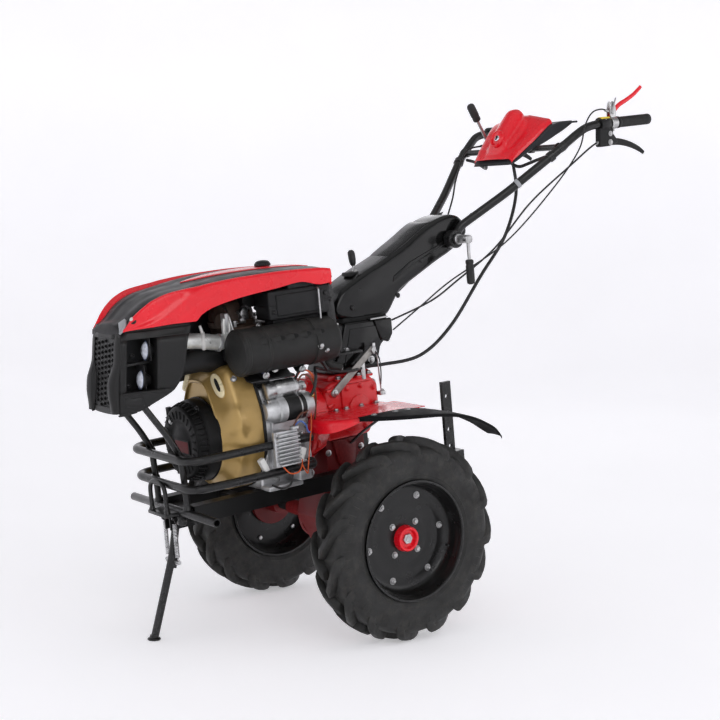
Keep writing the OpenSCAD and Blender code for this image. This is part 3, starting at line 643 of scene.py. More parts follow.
for side_name, mirror in (("left", False), ("right", True)):
    body = side_name + "_wheel"
    fix = flip_y if mirror else (lambda vf: vf)
    c = (0, HT, 0)
    part = Part(side_name + "_lug_tyre", body, (side_name + "_tyre",), "tyre_rubber", 34)
    part.add(fix(lathe(CARCASS + [CARCASS[0]], c, (0, 1, 0), 120)), M_TYRE)
    for i in range(15):
        a = 2 * math.pi * i / 15
        part.add(fix(lug(a + 0.05, 1)), M_TYRE, 2.2, 2)
        part.add(fix(lug(a + 0.05 + math.pi / 15, -1)), M_TYRE, 2.2, 2)
    # small moulding ribs round the shoulder between the bars
    for i in range(60):
        a = 2 * math.pi * i / 60
        for s in (1, -1):
            part.add(fix(loft([[wheel_point(r, a - 0.004, s * (t - 1)), wheel_point(r, a - 0.002, s * (t + 0.7)), wheel_point(r, a + 0.002, s * (t + 0.7)),
                                wheel_point(r, a + 0.004, s * (t - 1))] for r, t in ((208, 56.4), (220, 56), (230, 53.8))])), M_TYRE)
    part.done()

    part = Part(side_name + "_wheel_rim", body, (side_name + "_rim",), "black_paint")
    front = [(159, 54), (159.5, 56.6), (157, 57.6), (154, 57), (151.5, 53), (150, 47), (148.5, 42), (146, 38), (145, 30), (143.5, 20), (140, 12),
             (135, 7.5), (129, 5), (124, 4.4), (112, 4.4), (106, 5.4), (100, 4.4), (78, 4.4), (72, 6.0), (66, 6.2), (40, 6.2), (34, 5)]
    back = [(34, -1), (72, -1), (128, -1), (136, 1), (141, -4), (146, -20), (148, -40), (150, -47), (151.5, -53), (154, -57), (157, -57.6),
            (159.5, -56.6), (159, -54), (152.7, -44), (152.7, 44)]
    part.add(fix(lathe(front + back + [front[0]], c, (0, 1, 0), 96)), M_RIM)
    for i in range(6):
        a = -math.radians(60 * i + 5)
        o = wheel_point(117, a, 4.2)
        for vf, m in ((lathe([(0, 0), (9.5, 0), (9.5, 1.8), (0, 1.8)], o, (0, 1, 0), 20), M_STEEL),
                      (lathe([(0, 1.6), (7.4, 1.6), (7.4, 5.2), (6.2, 6.6), (0, 6.6)], o, (0, 1, 0), 6), M_STEEL),
                      (lathe([(0, 6), (4, 6), (4, 9.6), (3.2, 10.6), (0, 10.6)], o, (0, 1, 0), 14), M_STEEL)):
            part.add(fix(vf), m, 0.4, 1)
        o = wheel_point(117, a, -1)
        part.add(fix(lathe([(0, 0), (7.4, 0), (7.4, -5), (6.2, -6.4), (0, -6.4)], o, (0, 1, 0), 6)), M_STEEL, 0.4, 1)
    for i in range(4):
        a = math.radians(45 + 90 * i)
        o = wheel_point(53, a, 6.0)
        for vf in (lathe([(0, 0), (9, 0), (9, 1.6), (0, 1.6)], o, (0, 1, 0), 20), lathe([(0, 1.4), (7.2, 1.4), (7.2, 5.6), (6, 7), (0, 7)], o, (0, 1, 0), 6)):
            part.add(fix(vf), M_STEEL, 0.4, 1)
    # valve stem through the well
    v0 = Vector(wheel_point(139, math.radians(200), 12))
    part.add(fix(sweep([v0, v0 + Vector((3, 7, 1)), v0 + Vector((4, 14, 1.4))], [4, 3.4, 3], 10)), M_CABLE)
    part.done()

    part = Part(side_name + "_wheel_hub", body, (side_name + "_hub",), "red_paint")
    # inner hub flange and axle tube in the red darkened as painted shade
    part.add(fix(lathe([(0, -70), (31, -70), (31, -14.5), (69, -14.5), (70, -12), (70, -5), (0, -5)], c, (0, 1, 0), 48)), M_SHADED_RED)
    part.add(fix(lathe([(30, -6), (35, 4), (35, 8), (33, 12), (33, 22), (31, 25), (26, 25.5), (24, 23), (23, 16), (0, 16)], c, (0, 1, 0), 48)), M_RED)
    part.add(fix(lathe([(0, 10), (15, 10), (15, 20), (13.4, 22), (8, 22), (6, 20.5), (0, 20)], c, (0, 1, 0), 6)), M_STEEL, 0.6, 2)
    part.add(fix(lathe([(0, 40 - HT), (16, 40 - HT), (16, -60), (0, -60)], c, (0, 1, 0), 32)), M_DARK)
    part.add(fix(lathe([(16, -200), (21, -199), (21, -120), (17, -116), (16, -116)], c, (0, 1, 0), 32)), M_SHADED_RED)
    part.done()

# ---------------------------------------------------------------- front guard, posts and frame
for node, z, x in (("upper_guard", 280, 516), ("lower_guard", 206, 512)):
    part = Part(node + "_loop", "chassis", (node,), "black_paint")
    part.add(sweep(rounded([(150, 165, z), (x, 165, z), (x, -165, z), (150, -165, z)], 58, 14), 11, 20), M_BLACK, 0)
    part.add(box(156, 180, 104, 158, z - 9, z + 9), M_BLACK, 2, 2, both=True)
    part.bolt((168, 150, z + 9), (0, 0, 1), 6, 5)
    part.bolt((168, -150, z + 9), (0, 0, 1), 6, 5)
    part.done()
part = Part("nose_posts", "chassis", ("guard_posts",), "black_paint")
for s in (1, -1):
    route = rounded([(490, 80 * s, 142), (491, 80 * s, 206), (495.5, 80 * s, 284), (522, 80 * s, 335), (581, 80 * s, 425)], [14, 14, 20], 7)
    part.add(sweep(route, 8.5, 16), M_BLACK)
    # saddles where the posts are welded to the loops
    for z, x in ((206, 491), (280, 495.3)):
        part.add(lathe([(8.4, -7), (10.5, -4), (11, 0), (10.5, 4), (8.4, 7)], (x, 80 * s, z), (0.06, 0, 1), 18), M_BLACK)
        part.add(sweep([(x + 6, 80 * s, z), (x + 13, 80 * s, z)], 5, 10), M_BLACK)
    part.add(lathe([(8.4, 12), (11.5, 3), (13, 0)], (490, 80 * s, 141), (0, 0, 1), 18), M_BLACK)
part.add(prism("z", [(560, -74), (636, -74), (636, -40), (646, -40), (646, 40), (636, 40), (636, 74), (560, 74)], 424, 429), M_BLACK, 1.2, 2)
part.add(sweep(rounded([(530, 42, 133), (530, 42, 214), (530, -42, 214), (530, -42, 133)], 36, 12), 6, 14), M_BLACK)
for s in (1, -1):
    part.add(lathe([(6, 10), (8, 3), (9.5, 0)], (530, 42 * s, 133), (0, 0, 1), 16), M_BLACK)
    part.bolt((600, 60 * s, 424), (0, 0, -1), 6, 4)
part.done()

part = Part("front_cross_tube", "chassis", ("cross_tube",), "black_paint")
part.add(lathe([(8.4, 200), (8.4, 230), (10.4, 230), (11, 229), (11, -229), (10.4, -230), (8.4, -230), (8.4, -200)], (490, 0, 131), (0, 1, 0), 28), M_BLACK)
for s in (1, -1):
    part.add(lathe([(0, 0), (8.4, 0)], (490, 205 * s, 131), (0, 1, 0), 24), M_DARK)
part.add(box(496, 540, -50, 50, 123, 133), M_BLACK, 2.5, 2)
part.add(prism("y", [(480, 120), (504, 120), (504, 100), (498, 94), (484, 94), (480, 100)], 44, 50), M_BLACK, 1, 1, both=True)
part.done()
dress("engine_frame", M_FRAME, 3)
# ---------------------------------------------------------------- front stand and springs
part = Part("stand_leg", "stand", ("front_stand",), "black_paint")
FOOT = (586, 0, (586 * math.sin(math.radians(7)) - 270) / math.cos(math.radians(7)))
part.add(lathe([(7, -10.5), (13, -10.5), (14, -9.5), (14, 9.5), (13, 10.5), (7, 10.5)], (486, 0, 96), (0, 1, 0), 28), M_BLACK)
part.add(lathe([(0, -18), (6.2, -18), (6.9, -17), (6.9, 17), (6.2, 18), (0, 18)], (486, 0, 96), (0, 1, 0), 24), M_STEEL)
part.add(sweep(rounded([(487, 0, 92), (508, 0, 8), (584, 0, FOOT[2] + 5)], 34, 10), 10.4, 20), M_BLACK)
part.add(lathe([(0, -36), (5, -36), (5, -33.5), (4.2, -33), (4.2, 33), (5, 33.5), (5, 36), (0, 36)], (507, 0, -5), (0, 1, 0), 16), M_STEEL)
# weld collar at the pin and a round flanged foot
part.add(sweep([(505.5, 0, 12), (507, 0, -5), (512, 0, -22)], [11.4, 13, 11.4], 20), M_BLACK)
foot_frame = Matrix.Translation(FOOT) @ Matrix.Rotation(math.radians(-7), 4, "Y")
part.add(moved(lathe([(0, 0.2), (16, 0.2), (17.5, 1.6), (17.5, 4.2), (16, 6), (12.5, 7.5), (10.5, 14), (0, 14)], (0, 0, 0), (0, 0, 1), 32), foot_frame), M_BLACK)
part.done()
part = Part("stand_coil_springs", "chassis", ("stand_springs",), "plated_steel")
top, low = Vector((505, 0, 112)), Vector((507, 0, -5))
d = (low - top).normalized()
side = Vector((0, 1, 0)).cross(d)
for s in (27, -27):
    turns, pts = 24, []
    a0, a1 = top + d * 13 + Vector((0, s, 0)), low - d * 13 + Vector((0, s, 0))
    for i in range(turns * 14 + 1):
        a = 2 * math.pi * i / 14
        pts.append(a0 + (a1 - a0) * (i / (turns * 14)) + side * (math.cos(a) * 4.9) + Vector((0, 1, 0)) * (math.sin(a) * 4.9))
    part.add(sweep(pts, 1.45, 7), M_SPRING)
    for e, q, sg in ((a0, top, 1), (a1, low, -1)):
        ctr = q + Vector((0, s, 0))
        hook = [e + side * 4.9, e - d * sg * 3 + side * 2, ctr + d * sg * 7.6] + [
            ctr + (d * sg * math.cos(a) + side * math.sin(a)) * 6.6 for a in (math.radians(k) for k in range(30, 300, 30))]
        part.add(sweep(hook, 1.45, 7), M_SPRING)
part.done(blend=("chassis", "stand", W(505, 0, 104), W(506.9, 0, 0)))

# ---------------------------------------------------------------- engine
part = Part("crankcase", "chassis", ("engine_block",), "cast_aluminium")
part.add(box(112, 278, -104, 104, 152, 420), M_ALU, 8, 3)
part.add(box(170, 277, -139, 139, 151, 164), M_ALU, 4, 2)
# ribbed bearing cover seen beside the shroud
part.add(prism("x", [(60, 180), (118, 196), (142, 240), (146, 300), (142, 360), (120, 424), (60, 430)], 250, 279), M_ALU, 6, 3)
part.add(flip_y(prism("x", [(60, 180), (118, 196), (142, 240), (146, 300), (142, 360), (120, 424), (60, 430)], 250, 279)), M_ALU, 6, 3)
for i in range(6):
    z = 236 + 30 * i
    part.add(box(196, 252, 100, 128 + 6 * math.sin(i * 0.6), z, z + 7), M_ALU, 2, 2, both=True)
part.add(box(252, 258, 100, 150, 205, 420), M_ALU, 2, 2, both=True)
part.add(lathe([(0, 0), (30, 0), (30, 10), (26, 14), (12, 14), (10, 11), (0, 11)], (150, 104, 250), (0, 1, 0), 36), M_ALU)
part.add(lathe([(0, 0), (40, 0), (40, 12), (34, 18), (0, 18)], (190, -104, 290), (0, -1, 0), 40), M_ALU)
for k in range(6):
    a = math.radians(60 * k)
    part.bolt((190 + 33 * math.cos(a), -117, 290 + 33 * math.sin(a)), (0, -1, 0), 4.5, 4)
for x, z in ((122, 168), (122, 300), (122, 404), (230, 172)):
    part.bolt((x, 104, z), (0, 1, 0), 6, 5)
    part.bolt((x, -104, z), (0, -1, 0), 6, 5)
# oil filler and drain
part.add(lathe([(0, 0), (16, 0), (16, 14), (13, 20), (0, 20)], (140, 130, 200), (0.2, 1, 0.5), 28), M_COARSE)
part.done()

# black joint plate between shroud and crankcase
SHROUD = [(280.4, 0), (286, 0), (294, 0), (302, 0), (310, 0), (318, 0), (326, 0), (334, 0.0), (340, 0.02), (346, 0.06), (352, 0.14), (358, 0.27), (364, 0.42), (370, 0.58),
          (376, 0.75), (380, 0.87), (383, 0.95), (385, 1.0)]


def shroud_outline(t, n=200, grow=0.0):
    """Cross outline between the wide body (t 0) and the narrow front frame (t 1)."""
    a = [((147 + grow) * math.cos(math.radians(q)), 300 + (147 + grow) * math.sin(math.radians(q))) for q in range(180, 361, 6)]
    b = [(114 * math.cos(math.radians(q)), 300 + 114 * math.sin(math.radians(q))) for q in range(180, 361, 6)]
    a1 = [(147 + grow, 345), (145 + grow, 372), (100 + grow, 470 + grow), (88 + grow, 485 + grow), (68, 492 + grow)]
    b1 = [(110, 326), (103, 342), (75, 400), (52, 440), (32, 457)]
    a += a1 + [(-y, z) for y, z in reversed(a1)]
    b += b1 + [(-y, z) for y, z in reversed(b1)]
    p = [(u[0] + (v[0] - u[0]) * t, u[1] + (v[1] - u[1]) * t) for u, v in zip(a, b)]
    return resample(smooth_outline(p, 2), n)


def shroud_push(x, y, z):
    """Pressed pad and hollow on the flanks."""
    g = lambda v, c, w: math.exp(-((v - c) / w) ** 4)
    pad = 7.0 * g(x, 356, 17) * g(z, 358, 34)
    hollow = -7.0 * math.exp(-((x - 322) / 15) ** 2 - ((z - 316) / 20) ** 2)
    low = -4.0 * math.exp(-((x - 330) / 13) ** 2) * g(z, 236, 34)
    k = (pad + hollow + low) * soft((abs(y) - 70) / 40)
    d = math.hypot(y, z - 300)
    return (x, y + k * y / d, z + k * (z - 300) / d)


part = Part("gold_fan_shroud", "chassis", ("fan_shroud",), "gold_paint", 26)
rings = [[shroud_push(x, y, z) for y, z in shroud_outline(t)] for x, t in SHROUD]


def inward(ring, k, x, c=(0, 312)):
    return [(x, c[0] + (p[1] - c[0]) * k, c[1] + (p[2] - c[1]) * k) for p in ring]


last = rings[-1]
# crisp rolled ridge, then the front face that runs back to the starter
rings += [inward(last, 0.995, 387.5), inward(last, 0.975, 388.5), inward(last, 0.958, 387), inward(last, 0.945, 382), inward(last, 0.93, 380.5), inward(last, 0.86, 380), inward(last, 0.7, 380)]
part.add(loft(rings, caps=True), M_GOLD)
gasket = shroud_outline(0, 200, 2.5)
part.add(loft([[(x, y * k, 306 + (z - 306) * k) for y, z in gasket] for x, k in ((274.4, 0.985), (274.4, 1.004), (282.5, 1.004), (282.5, 0.985))]), M_COARSE, 0)
# raised oval boss with a slot on the shoulders, its pale gold a painted highlight, one screw behind it
for s in (1, -1):
    u = Vector((0, 0.55 * s, -0.835)).normalized()
    nn = Vector((0.62, 0.66 * s, 0.43))
    nn = (nn - u * nn.dot(u)).normalized()
    vv = u.cross(nn)
    put = Matrix(((vv.x, u.x, nn.x, 367), (vv.y, u.y, nn.y, 82 * s), (vv.z, u.z, nn.z, 445), (0, 0, 0, 1)))
    sup = lambda a, b, q: [(a * math.cos(t), b * (1 if math.sin(t) > 0 else -1) * abs(math.sin(t)) ** q) for t in (2 * math.pi * i / 36 for i in range(36))]
    part.add(moved(prism("z", sup(14, 35, 0.75), -14, 8), put), M_GOLD_PAINTED_HIGHLIGHT, 4, 4)
    part.add(moved(prism("z", sup(4.6, 20, 0.7), 4, 8.4), put), M_DARK)
    part.dome((333, 106 * s, 460), (0.3, 0.7 * s, 0.65), 7, 4, M_ALU)
part.done()

part = Part("recoil_cover", "chassis", ("recoil_starter",), "black_plastic")
o, ax = (384.2, 0, 300), (1, 0, 0)
part.add(lathe([(0, 0), (112, 0), (112, 4), (109, 6), (109, 26), (108, 32), (102, 38), (99, 40), (96, 58), (92, 63), (88, 64), (60, 64), (56, 61.5),
                (40, 61.5), (36, 64), (0, 64)], o, ax, 72), M_RECOIL)
for i in range(40):  # louvre bars round the cone and on the face
    a = 2 * math.pi * i / 40
    u = Vector((0, math.cos(a), math.sin(a)))
    t = Vector((0, -math.sin(a), math.cos(a)))
    c0 = Vector(o)
    bar = [[tuple(c0 + Vector((x, 0, 0)) + u * r + t * w) for w in (-2.6, 2.6)] + [tuple(c0 + Vector((x2, 0, 0)) + u * r2 + t * w) for w in (1.8, -1.8)]
           for x, r, x2, r2 in ((38, 103, 42, 106.5), (58, 95.5, 61, 99.5))]
    part.add(loft(bar), M_RECOIL, 0.8, 1)
for i in range(24):
    a = 2 * math.pi * (i + 0.5) / 24
    u, t = Vector((0, math.cos(a), math.sin(a))), Vector((0, -math.sin(a), math.cos(a)))
    c0 = Vector(o) + Vector((64, 0, 0))
    part.add(loft([[tuple(c0 + u * r + t * w) for w in (-3.2, 3.2)] + [tuple(c0 + Vector((2.2, 0, 0)) + u * r + t * w) for w in (2.4, -2.4)]
                   for r in (64, 85)]), M_DARK if i % 2 else M_RECOIL, 0.6, 1)
part.add(prism("x", [(y + 4, z + 290) for y, z in [(-34, -15), (34, -15), (34, 15), (-34, 15)]], 447.6, 449.6), M_LABEL, 0.6, 2)
part.add(prism("x", [(y + 4, z + 290) for y, z in [(-38, -19), (38, -19), (38, 19), (-38, 19)]], 446, 448.6), M_COARSE, 0.6, 2)
for a in (60, 180, 300):
    part.bolt((418, 104 * math.cos(math.radians(a)), 300 + 104 * math.sin(math.radians(a))), (1, 0, 0), 6, 6, M_BLACK)
part.bolt((447, -46, 352), (1, 0, 0), 5.5, 4)
# pull handle
part.add(sweep([(424, -84, 344), (430, -84, 356), (432, -84, 384)], [7, 8.5, 7.5], 14), M_GRIP)
part.done()

part = Part("silencer", "chassis", ("muffler",), "muffler_black", 32)
mo = (36, 136, 528)
part.add(lathe([(0, 1), (38, 0.5), (50, 3), (57, 9), (60, 16), (60, 224), (61.6, 226), (61.6, 232), (60, 234), (60, 286), (61.8, 287.5), (62.4, 291),
                (61.8, 295), (60, 297), (57, 298), (55, 301), (44, 304.5), (26, 307), (0, 308)], mo, (1, 0, 0), 64), M_MUFFLER)
for x in (282, 241, 200, 160, 119):  # half-round louvres along the outer side
    n = Vector((0, math.cos(math.radians(28)), math.sin(math.radians(28))))
    t = Vector((0, -n.z, n.y))
    c0 = Vector((x, 136, 528)) + n * 58.6
    rows = []
    for k in range(10):
        b = math.pi * k / 9
        rows.append([tuple(c0 + t * (11 * math.cos(b) * (0.55 + 0.45 * q)) + n * (7 * math.sin(b) * q + 0.2) + Vector((xx, 0, 0)))
                     for xx, q in ((13, 0.0), (8, 0.32), (0, 0.72), (-7, 1.0), (-9, 1.02))])
    part.add(loft(rows, caps=False, close=False), M_MUFFLER)
    part.add(prism("x", [(c0.y + t.y * 10 * math.cos(math.pi * k / 8) + n.y * 6.2 * math.sin(math.pi * k / 8),
                          c0.z + t.z * 10 * math.cos(math.pi * k / 8) + n.z * 6.2 * math.sin(math.pi * k / 8)) for k in range(9)], x - 7.4, x - 6.8), M_DARK)
    put = Matrix(((1, 0, 0, x - 14), (0, t.y, n.y, c0.y + n.y * 1.1), (0, t.z, n.z, c0.z + n.z * 1.1), (0, 0, 0, 1)))
    part.add(moved(prism("z", [(11 * math.cos(math.pi * k / 10), 6.5 * math.sin(math.pi * k / 10)) for k in range(20)], -2, 0.9), put), M_DARK)
part.add(prism("x", [(110, 468), (128, 452), (150, 452), (166, 474)], 150, 156), M_COARSE, 1.5, 2)
part.add(prism("x", [(110, 468), (128, 452), (150, 452), (166, 474)], 262, 268), M_COARSE, 1.5, 2)
# clamp band, flange and its bolts, exhaust neck
part.add(lathe([(60, 0), (62.4, 1), (62.4, 17), (60, 18)], (104, 136, 528), (1, 0, 0), 64), M_MUFFLER)
part.add(sweep([(222, 64, 558), (222, 90, 558), (222, 108, 552)], 17, 20), M_IRON)
part.add(lathe([(17, 0), (28, 0), (28, 8), (17, 8)], (222, 65, 558), (0, 1, 0), 28), M_IRON)
part.bolt((222, 73, 580), (0, 1, 0), 6, 5)
part.bolt((222, 73, 536), (0, 1, 0), 6, 5)
part.bolt((153, 158, 462), (0.2, 1, -0.3), 6, 5)
part.bolt((265, 158, 462), (0.2, 1, -0.3), 6, 5)
part.bolt((113, 195, 520), (0, 1, 0), 6, 6)
part.bolt((92, 190, 506), (0, 1, -0.2), 5, 5)
part.add(prism("x", [(92, 486), (100, 466), (126, 448), (150, 446), (150, 451), (128, 454), (106, 470), (98, 488)], 172, 306), M_COARSE, 1.2, 2)
part.add(lathe([(0, -10), (11, -10), (12.5, -6), (12.5, 8), (10, 11.5), (5, 12.5), (0, 12.5)], (262, 146, 478), (0.5, 0.85, -0.1), 28), M_SLATE)
part.bolt((232, 150, 474), (0.3, 1, -0.2), 6, 5, M_WHITE)
# tail pipe behind and below
part.add(sweep(rounded([(60, 140, 480), (60, 146, 456), (30, 160, 448)], 16, 6), 11, 16), M_MUFFLER)
part.done()

part = Part("air_cleaner_box", "chassis", ("air_cleaner",), "black_plastic")
part.add(box(36, 226, 66, 140, 596, 674), M_COARSE, 7, 3)
part.add(box(40, 160, 60, 134, 668, 692), M_COARSE, 4, 2)
part.add(box(6, 204, 72, 116, 568, 600), M_COARSE, 5, 2)
part.add(box(58, 204, 138, 145, 606, 662), M_COARSE, 4, 3)
part.add(box(34, 228, 68, 142, 631, 635), M_COARSE, 1.5, 2)
part.dome((50, 140, 650), (0, 1, 0), 5, 3.5, M_BLACK)
part.dome((212, 140, 618), (0, 1, 0), 5, 3.5, M_BLACK)
# thin stay rod and its clip
part.add(sweep([(77, 151, 559), (77, 151, 663)], 2.6, 12), M_STEEL)
part.add(sweep([(77, 151, 663), (77, 146, 667), (77, 138, 668)], 2.6, 12), M_STEEL)
part.add(sweep([(77, 151, 559), (78, 156, 552), (80, 162, 548)], 2.6, 12), M_STEEL)
part.done()

part = Part("cylinder_and_head", "chassis", ("cylinder_head",), "cast_iron_grey")
part.add(lathe([(0, 0), (52, 0), (52, 130), (0, 130)], (222, 0, 420), (0, 0, 1), 40), M_ALU_DARK)
for i in range(8):
    z = 434 + 14 * i
    part.add(box(148, 276, -63, 63, z, z + 4), M_ALU_DARK, 1.4, 2)
part.add(box(148, 296, -63, 63, 547, 586), M_IRON, 6, 3)
part.add(loft([[(262 + dx * k, dy * k, z) for dx, dy in smooth_outline([(-60, -48), (60, -48), (60, 48), (-60, 48)], 2)]
               for z, k in ((584, 1.0), (592, 1.03), (594, 1.06), (600, 1.06), (602, 1.0), (622, 0.97), (638, 0.88), (648, 0.76), (654, 0.58), (657, 0.34), (657.6, 0.1))]), M_IRON, 0)
part.add(lathe([(0, 0), (20, 0), (22, 4), (22, 16), (18, 20), (0, 20)], (300, 26, 604), (0.7, 0.7, 0.1), 28), M_IRON)
part.add(box(306, 318, 40, 66, 574, 626), M_ALU, 3, 2)
part.add(sweep([(322, 62, 566), (323, 64, 600), (320, 62, 612)], [6, 6, 5], 14), M_BRIGHT)
part.add(sweep([(306, 64, 566), (307, 66, 596), (305, 64, 608)], [5, 5, 4], 14), M_BRIGHT)
part.add(sweep(through([(214, 46, 622), (206, 52, 634), (196, 54, 640), (190, 52, 636)], 5), [4, 6, 6] + [6] * 13, 12), M_COARSE)
for x, y in ((160, 54), (284, 54), (160, -54), (284, -54)):
    part.add(lathe([(0, 0), (6, 0), (6, 16), (0, 16)], (x, y, 586), (0, 0, 1), 14), M_STEEL)
    part.bolt((x, y, 594), (0, 0, 1), 8, 7)
# injector with its pipe, breather hose, decompression lever
part.add(sweep([(286, 20, 586), (290, 22, 612), (296, 26, 632)], [8, 7, 5], 14), M_COPPER)
part.add(sweep(through([(296, 26, 632), (304, 44, 640), (306, 66, 616), (300, 78, 560), (292, 84, 500), (286, 88, 452)], 8), 3, 10), M_STEEL)
part.add(sweep(through([(262, 44, 606), (268, 62, 628), (262, 76, 640), (246, 80, 628)], 8), 3.4, 10), M_CABLE)
part.add(sweep([(258, 46, 604), (270, 64, 612), (284, 74, 626)], [5, 4, 3.4], 12), M_STEEL)
part.add(box(250, 268, 44, 58, 592, 612), M_STEEL, 2, 2)
part.add(prism("y", [(236, 600), (262, 600), (268, 622), (250, 640), (238, 632)], 46, 50), M_STEEL, 1, 2)
part.add(box(170, 200, 44, 60, 590, 608), M_ALU, 3, 2)
part.done()

part = Part("intake_pipe", "chassis", (), "cast_aluminium")
part.add(sweep(rounded([(282, 58, 560), (340, 60, 552), (404, 60, 568), (470, 58, 572)], 24, 6), [20.5] * 14, 28), M_BRIGHT)
part.add(lathe([(20, 0), (23.5, 1), (23.5, 8), (20, 9)], (336, 60, 552), (0.97, 0, 0.24), 32), M_ALU)
# black duct and block under the intake pipe: partly a real duct, partly black put into the shaded gap above the shroud
# as painted shade
part.add(sweep([(330, 20, 486), (346, 30, 506), (390, 36, 514), (452, 34, 506)], [34, 34, 32, 26], 24), M_COARSE)
part.add(box(300, 330, -40, 70, 500, 540), M_COARSE, 8, 3)
# cowl of the far side, seen through the gap under the hood
part.add(prism("y", [(100, 500), (100, 578), (204, 582), (214, 640), (236, 664), (372, 672), (396, 600), (396, 446), (330, 452), (220, 494)], -100, -74), M_COARSE, 4, 2)
for i in range(4):
    part.add(box(240 + 36 * i, 251 + 36 * i, -104, -98, 512, 648), M_COARSE, 2, 2)
for x, z in ((116, 540), (380, 470), (374, 644)):
    part.bolt((x, -100, z), (0, -1, 0), 5, 4, M_BLACK)
strap = [(384 + 13 * math.sin(a), 60 + 22.4 * math.sin(a), 564 + 22.4 * math.cos(a)) for a in (2 * math.pi * k / 40 for k in range(40))]
part.add(sweep(strap, 5.0, 10, loop=True, flat=0.4), M_WHITE)
part.add(sweep([(388, 66, 584), (393, 70, 596), (396, 70, 606)], [4.4, 4, 3.4], 10), M_WHITE)
part.add(sweep(through([(430, 50, 500), (462, 40, 484), (500, 40, 470), (560, 50, 462)], 6), 4, 10), M_CABLE)
part.done()

part = Part("starter_assembly", "chassis", ("starter_motor",), "cast_aluminium")
so = (134, 146, 365)
part.add(lathe([(0, 0), (28, 0), (33, 3), (35, 8), (35, 26), (33, 28)], so, (1, 0, 0), 44), M_ALU)
part.add(lathe([(32.5, 26), (34, 28), (34, 84), (32.5, 86)], so, (1, 0, 0), 44), M_PLASTIC)
part.add(lathe([(32.5, 84), (35, 86), (35, 104), (31, 108), (31, 122), (26, 132), (22, 143), (0, 143)], so, (1, 0, 0), 44), M_ALU)
part.add(lathe([(33.6, 40), (34.6, 41), (34.6, 44), (33.6, 45)], so, (1, 0, 0), 44), M_STEEL)
so2 = (168, 138, 417)
part.add(lathe([(0, -8), (9, -8), (9, 0), (22, 1), (25, 4), (25, 66), (23.6, 68), (23.6, 72), (25, 74), (25, 96), (21, 99), (12, 100), (0, 100)], so2, (1, 0, 0), 40), M_STEEL)
part.add(lathe([(24, 0), (25.8, 1), (25.8, 5), (24, 6)], (176, 138, 417), (1, 0, 0), 40), M_ALU)
part.add(box(180, 240, 106, 138, 345, 405), M_ALU, 4, 2)
for y, z in ((128, 424), (148, 410), (136, 404)):
    part.bolt((168, y, z), (-1, 0, 0), 4, 6)
for y, z in ((158, 392), (120, 344)):
    part.bolt((262, y, z), (1, 0, 0), 5, 6)
part.add(lathe([(0, 0), (5, 0), (5, 8), (0, 8)], (142, 170, 388), (-1, 0.3, 0.4), 12), M_COPPER)
part.done()

part = Part("regulator_unit", "chassis", ("regulator",), "cast_aluminium")
part.add(box(204, 277, 176, 188, 222, 315), M_ALU, 3, 2)
for i in range(9):
    z = 226 + 9.9 * i
    part.add(box(207 + (4 if i in (0, 8) else 0), 274 - (4 if i in (0, 8) else 0), 186, 203.6, z, z + 4.6), M_ALU, 1.6, 2)
part.add(box(206, 226, 180, 200, 315, 324), M_ALU, 2, 2)
part.bolt((270, 188, 308), (0, 1, 0), 5, 4)
part.bolt((210, 188, 228), (0, 1, 0), 5, 4)
tilt = lambda x, y, z, a: Matrix.Translation((x, y, z)) @ Matrix.Rotation(math.radians(a), 4, "Y")
part.add(moved(box(-9, 9, -9, 9, -19, 19), tilt(196, 180, 244, -24)), M_WHITE, 3, 2)
part.add(moved(box(-8, 8, -9, 9, -19, 19), tilt(300, 160, 232, 24)), M_WHITE, 3, 2)
part.add(box(160, 196, 120, 168, 170, 200), M_ALU, 4, 2)
part.done()

part = Part("engine_wires", "chassis", (), "cable_rubber")
WIRES = [
    (M_ORANGE, 1.7, [(206, 196, 222), (196, 204, 196), (188, 198, 212), (170, 186, 262), (152, 176, 322), (146, 168, 372)]),
    (M_ORANGE, 1.8, [(262, 196, 224), (248, 204, 206), (224, 204, 204), (206, 196, 216), (198, 188, 232)]),
    (M_BROWN, 2.4, [(216, 190, 324), (206, 194, 342), (186, 186, 352), (164, 178, 352), (148, 176, 372)]),
    (M_BLUE, 2.2, [(212, 188, 324), (198, 196, 334), (180, 192, 320), (170, 184, 300), (158, 178, 296)]),
    (M_BROWN, 2.6, [(166, 150, 430), (156, 158, 446), (140, 166, 440), (128, 168, 412), (124, 164, 380), (122, 150, 330), (118, 128, 290)]),
    (M_ORANGE, 2.4, [(166, 132, 428), (150, 146, 456), (132, 158, 450), (122, 162, 424), (116, 150, 384), (114, 132, 340)]),
    (M_CABLE, 4.2, [(144, 172, 390), (132, 176, 412), (120, 168, 440), (104, 140, 456), (70, 118, 446), (20, 112, 430), (-40, 104, 422), (-84, 84, 420)]),
    (M_CABLE, 3.2, [(168, 138, 432), (150, 150, 470), (120, 150, 484), (84, 140, 470), (54, 124, 440)]),
    (M_CABLE, 3.0, [(232, 190, 208), (240, 190, 176), (250, 166, 160), (262, 130, 166)]),
]
for m, r, route in WIRES:
    part.add(sweep(through(route, 7), r, 9), m)
part.done()

# ---------------------------------------------------------------- hood, band, cap, tank and bracket
HOOD = [(30, 148, 676, 712, 722), (62, 149, 674, 717, 728), (130, 150, 688, 721, 733), (200, 150, 681, 723, 735), (300, 149, 672, 722, 735),
        (390, 145, 656, 717, 732), (426, 141, 640, 713, 729), (440, 139, 627, 712, 727), (495, 129, 628, 706, 720), (540, 117, 627, 692, 706),
        (571, 108, 626, 673, 689), (590, 100, 625, 657, 674), (600, 95, 624, 646, 664), (610, 90, 623, 634, 653), (618, 86, 621, 626, 643)]


def hood_at(x):
    return [table_at(HOOD, x, c) for c in (1, 2, 3, 4)]


def rim_drop(x):
    """How far the black band lies below the red rims, and how far inside them it starts."""
    w, lo, ridge, crown = hood_at(x)
    e = min(1, (ridge - lo) / 34)
    k = soft((x - 250) / 290)
    return (4.5 + 7.5 * k) * e, (13 + 9 * k) * e


def band_edge(x):
    return hood_at(x)[0] - rim_drop(x)[1]


